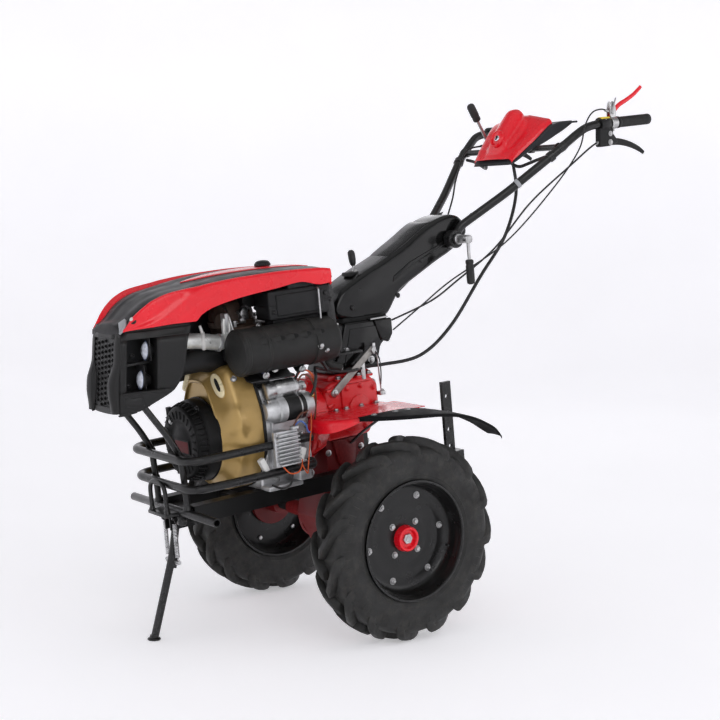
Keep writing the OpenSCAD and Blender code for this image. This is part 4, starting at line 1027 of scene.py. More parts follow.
def hood_top(x, y):
    """Height of the sunk middle surface that carries the black band."""
    w, lo, ridge, crown = hood_at(x)
    we = band_edge(x)
    low = ridge - rim_drop(x)[0]
    return low + (0.05 * we + 1.0 * (1 - soft((x - 150) / 250))) * (1 - min(abs(y) / we, 1) ** 2) + 12 * soft((x - 596) / 24) * (1 - min(abs(y) / we, 1) ** 2)


def hood_side(x):
    """Left red panel from the rolled hem over the raised rim to the black band."""
    w, lo, ridge, crown = hood_at(x)
    e = min(1, (ridge - lo) / 34)
    h = max(ridge - 14 * e - lo, 0.6)
    # the cheek stands out under a crease that runs down towards the front
    crease = lo + h * (0.98 - 0.86 * soft((x - 418) / 150))
    puff = 8.0 * soft((x - 385) / 80) * (1 - soft((x - 560) / 58))
    ys = []
    for f in (0.0, 0.06, 0.14, 0.24, 0.34, 0.44, 0.54, 0.64, 0.74, 0.86, 1.0):
        z = lo + h * f
        k = soft(1 - abs(z - crease) / max(h * (0.5 if z < crease else 0.36), 9))
        ys.append((w - 1.5 + 3.0 * f * e + puff * (k - 0.3 * f), z))
    hem = [(w - 9, lo + 10 * e), (w - 7.5, lo + 3 * e), (w - 4, lo + 0.3)]
    edge = [(w + 1.0 * e, ridge - 8 * e), (w - 0.4 * e, ridge - 3 * e), (w - 3.4 * e, ridge + 0.6 * e), (w - 7.0 * e, ridge + 0.9 * e),
            (w - 9.0 * e, ridge - 0.4 * e)]
    drop, inn = rim_drop(x)
    edge += [(w - 9 * e + (9 * e - inn) * k, ridge - 0.4 * e - (drop - 0.4 * e) * k ** 1.2) for k in (0.5, 1.0)] + [(w - inn - 1, ridge - drop - 6 * e)]
    return hem + ys + edge


part = Part("hood_shell", "chassis", ("hood_cover",), "red_paint", 50)
xs = [30 + (618 - 30) * i / 98 for i in range(99)]
for s in (1, -1):
    rings = [[(x, y * s, z) for y, z in hood_side(x)] for x in xs]
    rings = [[(x + 3, y - 4 * s, z - 6) for x, y, z in rings[0]], [(x - 0.5, y - 1.2 * s, z - 1.6) for x, y, z in rings[0]]] + rings
    rings += [[(x + 1.6, y - 1.5 * s, z - 0.6) for x, y, z in rings[-1]]]
    part.add(loft(rings, caps=False, close=False), M_RED)
part.done(solid=2.2)

part = Part("hood_centre_band", "chassis", ("hood_band",), "black_plastic", 50)
rings = []
for i in range(75):
    x = 32 + (618 - 32) * i / 74
    w = band_edge(x) - 0.4
    e = min(1, (hood_at(x)[2] - hood_at(x)[1]) / 30)
    lift = ((1.0, -4.0), (1.0, 0.0), (0.985, 0.8), (0.93, 1.0), (0.90, 0.2), (0.88, 1.8), (0.82, 2.4), (0.64, 2.6), (0.47, 2.4), (0.43, 1.2), (0.2, 1.2), (0, 1.2))
    half = [(w * k, hood_top(x, w * k) + d * e) for k, d in lift]
    rings.append([(x, y, z) for y, z in half] + [(x, -y, z) for y, z in reversed(half[:-1])])
# the band runs over the front edge and down to the grille
end = rings[-1]
for x, drop, k in ((621.5, 3, 0.995), (624.5, 8, 0.985), (626.8, 15, 0.975), (628.2, 23, 0.965), (628.8, 32, 0.955)):
    rings.append([(x - 1.5 * (abs(y) / 74) ** 2, y * k, max(min(z, 640 - drop) - drop * 0.25, 609)) for _, y, z in end])
part.add(loft(rings, caps=False, close=False), M_BAND)
# raised middle strip in the hood's colour, pointed in front
STRIP = [(34, 44), (120, 43), (200, 40), (280, 32), (340, 22), (380, 11), (402, 0.6)]
rings = []
for i in range(41):
    x = 34 + (402 - 34) * i / 40
    w = table_at(STRIP, x, 1)
    half = [(w, hood_top(x, w) + 1.6), (w * 0.985, hood_top(x, w) + 3.2), (w * 0.93, hood_top(x, w * 0.93) + 3.8), (w * 0.5, hood_top(x, w * 0.5) + 4.0), (0, hood_top(x, 0) + 4.1)]
    rings.append([(x, y, z) for y, z in half] + [(x, -y, z) for y, z in reversed(half[:-1])])
part.add(loft(rings, caps=False, close=False), M_RED)
# grey catch tab at the near front corner, its light grey partly a painted highlight of the band's corner, and a screw
# behind it
for s in (1,):
    tab = [(627.4, 80, 618), (626, 82, 622), (618.5, 66.5, 643), (606, 79.5, 653), (610, 86, 641), (619, 85.5, 626)]
    v = [(x + 1.6, y * s, z + 1.6) for x, y, z in tab] + [(x - 3, y * s, z - 3) for x, y, z in tab]
    part.add((v, prism("z", [(0, 0)] * 6, 0, 1)[1]), M_GREYSHEET, 0.8, 2)
    q = Vector((591, 90 * s, hood_top(591, 90) + 3))
    nq = Vector((0.62, 0.3 * s, 0.72))
    part.add(lathe([(0, -4), (12, -4), (12.5, 1.5), (11, 3), (0, 3)], q, nq, 24), M_COARSE)
    part.add(lathe([(0, 2), (6.5, 2), (6.5, 5), (5, 7), (0, 7.5)], q, nq, 18), M_WHITE)
part.done()

part = Part("fuel_filler_cap", "chassis", ("fuel_cap",), "black_plastic")
cz = 730
part.add(lathe([(0, 0), (21, 0), (21.6, 2), (21, 7), (19, 10.5), (15.5, 13), (10, 14.6), (4, 15.4), (0, 15.5)], (150, 0, cz), (0, 0, 1), 40), M_PLASTIC)
part.add(lathe([(30, -26), (27, -14), (20, -8), (18, 1)], (150, 0, cz), (0, 0, 1), 40), M_RED)
for i in range(24):
    a = 2 * math.pi * i / 24
    part.add(sweep([(150 + 21 * math.cos(a), 21 * math.sin(a), cz + 0.8), (150 + 21 * math.cos(a), 21 * math.sin(a), cz + 6.2)], 1.1, 6), M_PLASTIC)
part.done()
dress("fuel_tank", M_PLASTIC, 10, 3)
part = Part("rear_hood_bracket", "chassis", ("hood_bracket",), "black_paint")
for s in (1, -1):
    side = prism("y", [(14, 474), (44, 474), (44, 692), (24, 692), (21, 640), (15, 520)], 128 * s, 135 * s)
    part.add(side, M_BLACK, 2, 2)
    part.add(prism("y", [(16, 474), (22, 474), (30, 690), (24, 690)], 118 * s, 130 * s), M_BLACK, 1.5, 2)
    part.add(box(-60, 28, 58.4 * s, 135.6 * s, 473, 480), M_BLACK, 2, 2)
    part.add(prism("x", [(60 * s, 480), (128 * s, 480), (128 * s, 520)], 2, 7), M_BLACK, 1.2, 2)
    for z in (490, 560, 630, 678):
        part.dome((32, 135 * s, z), (0, s, 0), 5, 3.5, M_BLACK)
    part.bolt((-30, 100 * s, 480), (0, 0, 1), 6, 5)
part.add(box(18, 44, -134, 134, 686, 692), M_BLACK, 2, 2)
part.add(box(26, 34, 62, 128, 586, 690), M_COARSE, 2, 2)
part.done()

# ---------------------------------------------------------------- nose fairing
NOSE = [(421, 657, 66, 650, 82, 604, 101), (437, 655, 66, 648, 82, 570, 114), (464, 651.5, 65, 644.5, 81, 520, 132), (470, 650.7, 65, 643.7, 81, 514, 134),
        (503, 646, 64.5, 639, 80.5, 492, 140), (540, 641, 64, 634, 80, 482, 141), (600, 632, 63, 625, 79, 463, 136), (606, 630.5, 63, 623.5, 79, 458, 133),
        (618, 626, 62, 619, 77, 452, 129)]


def nose_at(z):
    return [table_at(NOSE, z, c) for c in (1, 2, 3, 4, 5, 6)]


def flank(z, x):
    fx, fw, cx, cw, rx, rw = nose_at(z)
    t = (x - rx) / (cx - rx)
    return rw + (cw - rw) * t + 2.5 * math.sin(math.pi * min(max(t, 0), 1))


def tusk(z):
    """How far the corner posts stand in front of the grille."""
    return 14.0 * soft((552 - z) / 55) * (1 - 0.55 * soft((478 - z) / 55))


pocket_x = lambda z: 557.5 - (z - 473) * 0.132
strip_x = lambda z: nose_at(z)[2] - 15
rear = lambda z: nose_at(z)[4]
cheek = lambda z: nose_at(z)[2]
P0, P1 = 470, 600

part = Part("nose_fairing", "chassis", ("front_fairing",), "black_plastic", 36)
zs = [421, 430, 445, 460, 472, 484, 496, 508, 520, 532, 544, 556, 572, 588, 598, 606, 613, 618]


def side_strip(z0, z1, x_from, x_to, steps, s):
    """Side skin between two heights and two x lines (functions of z)."""
    rows = []
    for z in [z0 + (z1 - z0) * i / 10 for i in range(11)]:
        a, b = x_from(z), x_to(z)
        rows.append([(a + (b - a) * k / steps, s * flank(z, a + (b - a) * k / steps), z) for k in range(steps + 1)])
    return loft(rows, caps=False, close=False)


for s in (1, -1):
    part.add(side_strip(421, P0, rear, cheek, 10, s), M_PLASTIC)
    part.add(side_strip(P1, 618, rear, cheek, 10, s), M_PLASTIC)
    part.add(side_strip(P0, P1, rear, pocket_x, 8, s), M_PLASTIC)
    part.add(side_strip(P0, P1, strip_x, cheek, 2, s), M_PLASTIC)
    # corner post from the cheek to the grille
    rows = []
    for z in zs:
        fx, fw, cx, cw, rx, rw = nose_at(z)
        b = tusk(z)
        q = [(cx, cw), (cx + 2.5 + b * 0.45, cw - 1.5), (cx + 5 + b * 0.85, cw - 6), (fx + b, fw + 4), (fx + b, fw - 4 - b * 0.3), (fx + b * 0.8, fw - 6 - b * 0.75), (fx + b * 0.25, fw - 7 - b),
             (fx, fw - 7.5 - b * 1.1), (fx - 4, fw - 8 - b * 1.1)]
        rows.append([(x, s * y, z) for x, y in q])
    part.add(loft(rows, caps=False, close=False), M_PLASTIC)
    # skirt of the flank, a step below the front's lip
    rows = []
    for dz, inn in ((0, 0), (-5, 0.4), (-8, 1.6), (-8.6, 4), (-6, 7)):
        xs = [rear(421) + 6 + (cheek(421) + 1 - rear(421) - 6) * k / 8 for k in range(9)]
        rows.append([(x, s * (flank(421, x) - inn), 421 + dz * (0.35 + 0.65 * soft((x - 606) / 40))) for x in xs])
    part.add(loft(rows, caps=False, close=False), M_PLASTIC)
for z0, z1 in ((421, 434), (604, 618)):
    rows = [[(nose_at(z)[0], y * (nose_at(z)[1] - 4), z) for y in (-1, -0.6, -0.2, 0.2, 0.6, 1)] for z in [z0 + (z1 - z0) * i / 5 for i in range(6)]]
    part.add(loft(rows, caps=False, close=False), M_PLASTIC)
# lower lip of the front
rows = []
for dx, z in ((0, 421), (-2, 417), (-7, 414.5), (-14, 415.5), (-18, 421)):
    rows.append([(657 + dx - 6 * abs(y) ** 3, y * 70, z + 3.5 * abs(y) ** 4) for y in (-1, -0.8, -0.6, -0.3, 0, 0.3, 0.6, 0.8, 1)])
part.add(loft(rows, caps=False, close=False), M_PLASTIC)
# top edge turned in
rows = []
for k, z in ((1, 618), (0.985, 620), (0.96, 620), (0.94, 616)):
    fx, fw, cx, cw, rx, rw = nose_at(618)
    half = [(rx, rw), ((rx + cx) / 2, flank(618, (rx + cx) / 2)), (cx, cw), (fx - 3, fw + 4), (fx, fw - 3)]
    rows.append([(500 + (x - 500) * k, y * k, z) for x, y in half] + [(500 + (x - 500) * k, -y * k, z) for x, y in reversed(half)])
part.add(loft(rows, caps=False, close=False), M_PLASTIC)
# wall that closes the gap up to the hood
rows = []
for k, z in ((0.985, 612), (0.985, 622), (0.975, 634)):
    fx, fw, cx, cw, rx, rw = nose_at(618)
    half = [(rx, rw), ((rx + cx) / 2, flank(618, (rx + cx) / 2)), (cx, cw), (fx - 6, fw + 2)]
    rows.append([(500 + (x - 500) * k, y * k, z) for x, y in half] + [(500 + (x - 500) * k, -y * k, z) for x, y in reversed(half)])
part.add(loft(rows, caps=False, close=False), M_PLASTIC)
part.done(solid=3.0)

part = Part("nose_lamp_pockets", "chassis", (), "black_plastic", 40)
FLOOR = 62
for s in (1, -1):
    side = lambda vf: ([(x, y * s, z) for x, y, z in vf[0]], vf[1])
    zz = [P0 + (P1 - P0) * i / 12 for i in range(13)]
    # rear wall, floor and front wall of the pocket
    part.add(side(loft([[(pocket_x(z), flank(z, pocket_x(z)), z), (pocket_x(z) + 1, flank(z, pocket_x(z)) - 4, z), (pocket_x(z) + 3, FLOOR + 4, z), (pocket_x(z) + 8, FLOOR, z)] for z in zz], False, False)), M_PLASTIC)
    part.add(side(loft([[(pocket_x(z) + 8, FLOOR, z), (strip_x(z) - 8, FLOOR + 2, z), (strip_x(z) - 2, FLOOR + 6, z), (strip_x(z), flank(z, strip_x(z)) - 3, z), (strip_x(z), flank(z, strip_x(z)), z)] for z in zz], False, False)), M_PLASTIC)
    for z in (P0, P1):
        xa, xb = pocket_x(z), strip_x(z)
        part.add(side(loft([[(xa + (xb - xa) * k, FLOOR - 1, z), (xa + (xb - xa) * k, flank(z, xa + (xb - xa) * k), z)] for k in (0, 0.25, 0.5, 0.75, 1)], False, False)), M_PLASTIC)
    # shelf between the lamps, raised border along the pocket's sill and a panel below it
    part.add(side(prism("y", [(549, 534.5), (618.5, 534.5), (618, 541), (549, 541)], FLOOR - 1, 84)), M_PLASTIC, 1.5, 2)
    part.add(side(loft([[(x, flank(469, x) + d, z) for d, z in ((-1, 464), (1.8, 465.5), (2.2, 468.5), (0.6, 470.4), (-1, 470.4))] for x in [540 + 96 * k / 8 for k in range(9)]], True, True)), M_PLASTIC)
    part.add(side(loft([[(x, flank(z, x) + d, z) for x, z, d in ((a, 434, -1), (a, 435, 1.4), (a, 456, 1.4), (a, 457, -1))] for a in [592 + 44 * k / 6 for k in range(7)]], True, True)), M_PLASTIC, 0.8, 1)
    for x, z in ((592, 557.4), (609.6, 485)):
        part.dome((x, (FLOOR + 1.5) * s, z), (0.2, s, 0), 6, 4, M_COARSE)
part.done()

part = Part("nose_grille", "chassis", (), "black_plastic", 40)
# plate with slanted rows of diamond holes laid on the front face
cols, cw_, ch_ = 6, 20.0, 13.0
fx = lambda zz: nose_at(min(max(zz, 421), 618))[0]
for i in range(cols):
    yc = (i - (cols - 1) / 2) * cw_
    for j in range(-1, 15):
        zc = 431 + j * ch_ + i * 3.4
        z0, z1 = max(zc - ch_ / 2, 430), min(zc + ch_ / 2, 606)
        if z1 - z0 < 1.5:
            continue
        rim = [(yc + a * cw_ / 2, z) for a, z in ((-1, z0), (0, z0), (1, z0), (1, (z0 + z1) / 2), (1, z1), (0, z1), (-1, z1), (-1, (z0 + z1) / 2))]
        if z1 - z0 < ch_ - 0.5:
            part.add(([(fx(z) - 2.5, y, z) for y, z in rim], [tuple(range(8))]), M_PLASTIC)
            continue
        hole = [(yc + a * 7.0, zc + b * 4.4) for a, b in ((-0.55, -0.62), (0, -1), (0.55, -0.62), (1, 0), (0.55, 0.62), (0, 1), (-0.55, 0.62), (-1, 0))]
        lip = [(yc + (y - yc) * 1.28, zc + (z - zc) * 1.22) for y, z in hole]
        v = [(fx(z) - 2.5, y, z) for y, z in rim] + [(fx(z) - 1.2, y, z) for y, z in lip] + [(fx(z) - 3.0, y, z) for y, z in hole] + [(fx(z) - 7.5, y, z) for y, z in hole]
        f = [(8 * g + q, 8 * g + (q + 1) % 8, 8 * (g + 1) + (q + 1) % 8, 8 * (g + 1) + q) for g in range(3) for q in range(8)]
        part.add((v, f), M_PLASTIC)
part.done()
part = Part("lamp_housings", "chassis", (), "black_plastic")
for s in (1, -1):
    part.add(ball((620, 38 * s, 472), 12, 17, 25, 24, 14), M_WHITE)
    part.add(ball((594, 34 * s, 543), 12, 14, 25, 24, 14), M_WHITE)
    part.add(sweep([(612, 38 * s, 472), (590, 52 * s, 478)], 9, 16), M_COARSE)
    part.add(sweep([(586, 34 * s, 543), (570, 50 * s, 550)], 9, 16), M_COARSE)
part.done()

part = Part("headlamps", "chassis", ("headlights",), "lamp_glass")
for s in (1, -1):
    for x, z0, z1 in ((582, 471, 534), (561, 542, 599)):
        ya = flank((z0 + z1) / 2, x) - 2
        part.add(prism("x", [(y * s, z) for y, z in ((FLOOR, z0), (ya, z0), (ya, z1), (FLOOR, z1))], x - 3, x), M_COARSE, 0.8, 1)
    lampd = Vector((math.cos(math.radians(8)) * math.cos(math.radians(8)), -math.sin(math.radians(8)) * s, math.sin(math.radians(8))))
    for x, y, z in ((585, 84, 497), (564, 84, 568)):
        o = Vector((x, y * s, z)) - lampd * 13
        part.add(lathe([(0, -12), (11, -12), (16, -4), (21, 5), (25.4, 9.5), (25.8, 12), (25, 13.6), (24.2, 13.2), (24, 9)], o, lampd, 40), M_PLASTIC)
        part.add(lathe([(24.4, 12.2), (24.2, 13.4), (23.2, 13.6), (22.6, 12)], o, lampd, 40), M_BLUERIM)
        part.add(lathe([(23.4, 11.5), (18, 6.5), (12, 3), (5, 1.6), (0, 1.5)], o, lampd, 40), M_CHROME)
        part.add(lathe([(23.4, 11.8), (20.5, 15), (16, 18), (10, 20.4), (5, 21.4), (0, 21.8), (0, 20.4), (5, 20), (10, 19), (16, 16.6), (20.5, 13.6), (23.4, 10.8)], o, lampd, 40), M_LENS)
part.done()

# ---------------------------------------------------------------- drive line
part = Part("bell_housing", "chassis", ("clutch_housing",), "red_paint", 34)
bo = (42, 0, 300)
part.add(lathe([(60, 0), (96, 0), (101, 4), (104, 14), (112, 44), (116, 52), (121, 55), (124, 58), (124, 66), (122, 68), (60, 68)], bo, (1, 0, 0), 72), M_RED_CAST)
for i in range(12):
    a = 2 * math.pi * (i + 0.5) / 12
    u, t = Vector((0, math.cos(a), math.sin(a))), Vector((0, -math.sin(a), math.cos(a)))
    c0 = Vector(bo)
    part.add(loft([[tuple(c0 + Vector((x, 0, 0)) + u * r + t * w) for r, w in ((98, -4), (h, -3), (h, 3), (98, 4))] for x, h in ((2, 103), (20, 112), (56, 122))]), M_RED_CAST, 1.5, 2)
    b = 2 * math.pi * i / 12
    part.add(lathe([(0, 0), (11, 0), (11, 8), (0, 8)], c0 + Vector((52, 117 * math.cos(b), 117 * math.sin(b))), (-1, 0, 0), 18), M_RED_CAST)
    part.bolt(c0 + Vector((46, 117 * math.cos(b), 117 * math.sin(b))), (-1, 0, 0), 6, 5)
part.done()

part = Part("gearbox_shell", "chassis", ("gearbox_case",), "red_paint", 34)
outline = [(-136, 300), (-136, 372), (-112, 396), (20, 396), (42, 380), (42, 236), (-96, 236)]
part.add(prism("y", outline, -84, 84), M_RED_CAST, 9, 3)
part.add(box(-128, 12, -60, 60, 394, 410), M_RED_CAST, 5, 3)
part.add(box(-98.6, -84, 66, 84, 386, 434), M_STEEL, 2, 2)
for s in (1, -1):
    part.add(prism("y", [(-124, 306), (-124, 366), (-104, 384), (-20, 384), (-8, 370), (-8, 262), (-30, 250), (-84, 250)], 83 * s, 92 * s), M_RED_CAST, 3, 3)
    for x, z in ((-114, 322), (-114, 364), (-70, 376), (-24, 374), (-18, 318), (-18, 272), (-78, 260), (-104, 286)):
        part.bolt((x, 92 * s, z), (0, s, 0), 6, 5, M_RED_CAST)
    part.add(lathe([(0, 0), (34, 0), (34, 5), (26, 9), (0, 9)], (-62, 92 * s, 316), (0, s, 0), 36), M_RED_CAST)
    # webs towards the bell
    for z in (264, 330, 372):
        part.add(prism("z", [(4, 80 * s), (44, 80 * s), (44, 100 * s), (36, 98 * s)], z, z + 8), M_RED_CAST, 1.5, 2)
for x in (-116, -82, -48, -14):
    for s in (1, -1):
        part.add(lathe([(0, 0), (12, 0), (12, 6), (0, 6)], (x, 71 * s, 394), (0, 0, 1), 18), M_RED_CAST)
        part.bolt((x, 71 * s, 400), (0, 0, 1), 6.5, 6)
for z in (262, 300, 340, 372):
    for s in (1, -1):
        part.bolt((-136 if z > 290 else -118, 60 * s, z), (-1, 0, 0), 6, 5)
part.add(lathe([(0, 0), (20, 0), (20, 16), (14, 24), (0, 24)], (-136, 0, 340), (-1, 0, 0), 32), M_RED_CAST)
part.done()
# final drive case in the red darkened as painted shade
dress("final_drive_case", M_SHADED_RED, 6, 3)
part = Part("final_drive_trim", "chassis", (), "dark_red_paint", 34)
for s in (1, -1):
    for x, z in ((-76, 200), (-74, 140), (-62, 40), (-30, -50), (30, -50), (62, 30), (46, 110), (34, 200)):
        part.bolt((x, 62 * s, z), (0, s, 0), 6, 5)
    part.add(lathe([(40, 0), (64, 0), (66, 3), (66, 10), (60, 14), (46, 14)], (0, 62 * s, 0), (0, s, 0), 48), M_SHADED_RED)
    for k in range(6):
        a = math.radians(60 * k + 20)
        part.bolt((56 * math.cos(a), 76 * s, 56 * math.sin(a)), (0, s, 0), 5.5, 5)
    part.add(lathe([(17, 0), (36, 0), (36, 6), (30, 8), (17, 8)], (0, 110 * s, 0), (0, s, 0), 40), M_COARSE)
    part.add(prism("y", [(-60, 232), (20, 232), (6, 170), (-30, 120), (-50, 170)], 62 * s, 68 * s), M_SHADED_RED, 2, 2)
part.done()

part = Part("shift_lever_arm", "chassis", ("shift_arm",), "plated_steel")
a0, a1 = Vector((16, 93, 368)), Vector((-126, 93, 474))
d = (a1 - a0).normalized()
n = Vector((-d.z, 0, d.x))
out = [(p.x, p.z) for p in [a0 - d * 12 + n * 4, a0 - d * 8 + n * 9, a0 + n * 10.5, a1 - d * 8 + n * 9, a1 + d * 4 + n * 5, a1 + d * 4 - n * 5, a1 - d * 8 - n * 9, a0 - n * 10.5, a0 - d * 8 - n * 9, a0 - d * 12 - n * 4]]
part.add(prism("y", out, 90.5, 95.5), M_SHIFT, 1.2, 2)
part.add(lathe([(0, 0), (15, 0), (15, 4), (12, 6.5), (0, 6.5)], (16, 84.4, 368), (0, 1, 0), 30), M_RED_CAST)
part.bolt((16, 95.5, 368), (0, 1, 0), 6, 5)
# clevis, its pin and the thin rods down to the gearbox
part.add(lathe([(0, 0), (7, 0), (7, 11), (0, 11)], (-120, 90, 468), (0, 1, 0), 18), M_STEEL)
part.add(box(-128, -118, 88, 99, 456, 486), M_STEEL, 1.5, 2)
part.add(sweep(through([(-124, 99, 478), (-130, 99, 452), (-134, 96, 420), (-138, 92, 378), (-142, 90, 346)], 6), 2.2, 10), M_STEEL)
part.add(sweep(through([(-126, 100, 462), (-136, 101, 440), (-140, 98, 400), (-140, 92, 366)], 6), 1.8, 10), M_CABLE)
part.add(box(-152, -134, 78, 96, 336, 348), M_STEEL, 1.5, 2)
part.bolt((-146, 88, 348), (0, 0, 1), 4.5, 4)
part.done()

# ---------------------------------------------------------------- mudguards
for side_name, s in (("left", 1), ("right", -1)):
    part = Part(side_name + "_fender_panel", "chassis", (side_name + "_fender",), "red_paint", 45)
    # front edge, columns: x, y, depth of the turned-down lip
    LIP = [(133, 126, 33), (131, 150, 35), (126, 176, 36), (117, 202, 34), (104, 224, 29), (88, 243, 22), (68, 258, 13), (44, 268, 4)]
    lipc = [Vector(p) for p in LIP]
    lipc = through([(a, b, c) for a, b, c in LIP], 5)
    rows = []
    for p in lipc:
        nx = Vector((0.86, 0.5, 0)) if p.y > 190 else Vector((1, 0.12, 0)).normalized()
        base_x, base_y, dep = p.x, p.y, p.z
        prof = [(-150, 0.6 if False else 0, 0)]
        row = [(-156 + 0.0, base_y, 320.0), (-100, base_y, 321.0), (-30, base_y, 321.6), (base_x - 46, base_y, 321.6), (base_x - 20, base_y, 321.2),
               (base_x - 9, base_y, 319.6), (base_x - 3, base_y, 315.5 if dep > 8 else 318), (base_x, base_y, 320 - dep * 0.45), (base_x + 1.5, base_y, 320 - dep * 0.8),
               (base_x + 1, base_y, 320 - dep), (base_x - 2, base_y - 0.5, 320 - dep)]
        rows.append([(x, y * s, z) for x, y, z in row])
    part.add(loft(rows, caps=False, close=False), M_RED)
    # stiffening bead, tongue and its screws
    part.add(([(x, y * s, z) for x, y, z in prism("z", [(-130, 84.5), (38, 84.5), (60, 128), (-130, 128)], 317.5, 320.5)[0]], prism("z", [(0, 0)] * 4, 0, 1)[1]), M_RED, 1, 2)
    for x in (-110, -60, -10, 24):
        part.bolt((x, 104 * s, 320.4), (0, 0, 1), 6, 5)
    part.done(solid=2.4)

    part = Part(side_name + "_fender_blade", "chassis", (side_name + "_fender_wing",), "black_paint", 45)
    WING = [(62, 326, 262, 268), (52, 326.2, 262, 284), (40, 326.4, 262, 300), (0, 326.4, 262, 342), (-40, 326, 262, 372), (-90, 324, 263, 394), (-130, 318.5, 266, 399),
            (-160, 312, 270, 400), (-200, 300.5, 275, 400), (-230, 288, 280, 400), (-262, 270, 289, 399), (-285, 255, 300, 398), (-302, 238, 314, 395), (-314, 224, 332, 390)]
    rows = []
    for i in range(49):
        x = 62 - (62 + 314) * i / 48
        z, a, b = (table_at(WING, x, c) for c in (1, 2, 3))
        sag = 2.0
        row = [(x, a + (b - a) * k, z - sag * k * k + 1.2 * math.sin(k * math.pi)) for k in (0, 0.12, 0.3, 0.5, 0.7, 0.86, 0.96)]
        row += [(x, b - 0.4, z - sag - 0.8), (x, b, z - sag - 3), (x, b, z - 9.5), (x, b - 1.5, z - 10.8)]
        rows.append([(p, q * s, r) for p, q, r in row])
    part.add(loft(rows, caps=False, close=False), M_WING)
    for x, y in ((20, 276), (-40, 290), (-80, 290)):
        part.dome((x, y * s, table_at(WING, x, 1) + 0.8), (0, 0, 1), 6.5, 4)
    part.done(solid=2.6)
    part = Part(side_name + "_fender_stay", "chassis", (), "black_paint")
    stay = rounded([(-40, 63 * s, 214), (-40, 120 * s, 250), (-60, 200 * s, 300), (-70, 300 * s, 314)], 24, 6)
    part.add(sweep(stay, 6, 12, flat=0.55), M_BLACK)
    part.add(([(x, y * s, z) for x, y, z in box(-150, 30, 270, 292, 312.6, 315.4)[0]], box(0, 1, 0, 1, 0, 1)[1]), M_BLACK, 1, 1)
    part.done()

# ---------------------------------------------------------------- hitch
dress("hitch_arm", M_BLACK, 4, 3)
dress("drag_bar", M_BLACK, 1.5, 2)
part = Part("hitch_trim", "chassis", (), "plated_steel")
part.add(sweep([(-436, -46, 74), (-436, 44, 74)], 6.2, 16), M_STEEL)
part.add(sweep(rounded([(-436, -44, 74), (-436, -56, 74), (-450, -60, 90), (-462, -60, 82)], 8, 5), 2.2, 10), M_STEEL)
for s in (1, -1):
    part.bolt((-110, 40 * s, 76), (-1, 0, 0), 7, 6)
    part.bolt((-110, 40 * s, 206), (-1, 0, 0), 7, 6)
part.done()

# ---------------------------------------------------------------- steering column
part = Part("column_pedestal", "chassis", ("column_base",), "black_plastic", 34)
part.add(prism("y", [(-154, 411), (2, 411), (-2, 424), (-30, 470), (-56, 548), (-206, 544), (-208, 500), (-172, 470)], -66, 66), M_GLOSS, 8, 4)
for s in (1, -1):
    flare = prism("y", [(-211.4, 499), (-211.4, 544), (-150, 545), (-168, 486), (-196, 476)], 60, 73)
    part.add(([(x, y * s, z) for x, y, z in flare[0]], flare[1]), M_GLOSS, 6, 4)
    part.add(([(x, y * s, z) for x, y, z in prism("y", [(-140, 424), (-40, 424), (-70, 530), (-190, 528), (-190, 505), (-160, 480)], 65, 68)[0]],
              prism("y", [(0, 0)] * 6, 0, 1)[1]), M_GLOSS, 2.4, 3)
    part.bolt((-26, 66 * s, 430), (0, s, 0), 7, 5)
    part.bolt((-132, 68 * s, 436), (0, s, 0), 7, 5)
part.add(box(-206, -58, -54, 54, 538, 560), M_DARK, 2, 2)
# silver tab at the seam
part.add(box(-200, -140, 57, 70, 546, 550), M_STEEL, 1, 2)
part.add(box(-40, -22, 40, 58, 545, 551), M_STEEL, 1, 2)
part.done()

COVER = [(-54, 553), (-33, 580), (-36, 596), (-52, 622), (-72, 643), (-144, 677), (-214, 703), (-290, 735), (-340, 766), (-381, 787), (-420, 801), (-452, 808),
         (-480, 806), (-500, 797), (-518, 772), (-521, 752), (-512, 738), (-480, 716), (-452, 699), (-408, 682), (-340, 650), (-280, 622), (-262, 611), (-244, 590),
         (-224, 562), (-210, 549)]
part = Part("column_shell", "chassis", ("column_cover",), "black_plastic", 34)
part.add(prism("y", smooth_outline(COVER, 1), -57, 57), M_GLOSS, 15, 6, ang=50)
# raised collar on the upper run, side rib, slot plate
for s in (1, -1):
    rib = [(-236, 640), (-300, 676), (-400, 712), (-470, 742), (-474, 752), (-400, 724), (-300, 690), (-240, 656)]
    part.add(([(x, y * s, z) for x, y, z in prism("y", rib, 55.5, 59.4)[0]], prism("y", [(0, 0)] * 8, 0, 1)[1]), M_GLOSS, 2.2, 3)
    part.dome((-250, 56.5 * s, 600), (0, s, 0), 6, 4, M_BLACK)
    part.dome((-340, 57 * s, 690), (0, s, 0), 6, 4, M_BLACK)
    part.dome((-90, 57 * s, 586), (0, s, 0), 6, 4, M_BLACK)
collar = [(-228, 706), (-246, 720), (-318, 757), (-362, 783), (-392, 796), (-400, 788), (-380, 772), (-300, 722), (-240, 698)]
part.add(prism("y", smooth_outline(collar, 1), -46, 46), M_GLOSS, 7, 4, ang=50)
part.add(box(-178, -116, -20, 20, 668, 679), M_COARSE, 3, 2)
part.add(box(-164, -130, -6, 6, 676, 680.4), M_DARK, 1, 1)
part.done()
part = Part("column_top_lever", "chassis", ("column_lever",), "plated_steel")
part.add(sweep([(-150, 0, 644), (-147, 0, 672), (-144.5, 0, 703)], 4, 14), M_STEEL)
part.add(sweep([(-145, 0, 696), (-144.6, 0, 701), (-143.6, 0, 712), (-142, 0, 728), (-140.6, 0, 736), (-140, 0, 740)], [5.5, 8.5, 10, 10.4, 9, 4.5], 20), M_GRIP)
part.add(lathe([(4, 0), (9, 0), (9, 3), (6, 6), (4, 6)], (-148, 0, 677), (0.1, 0, 1), 20), M_STEEL)
part.done()

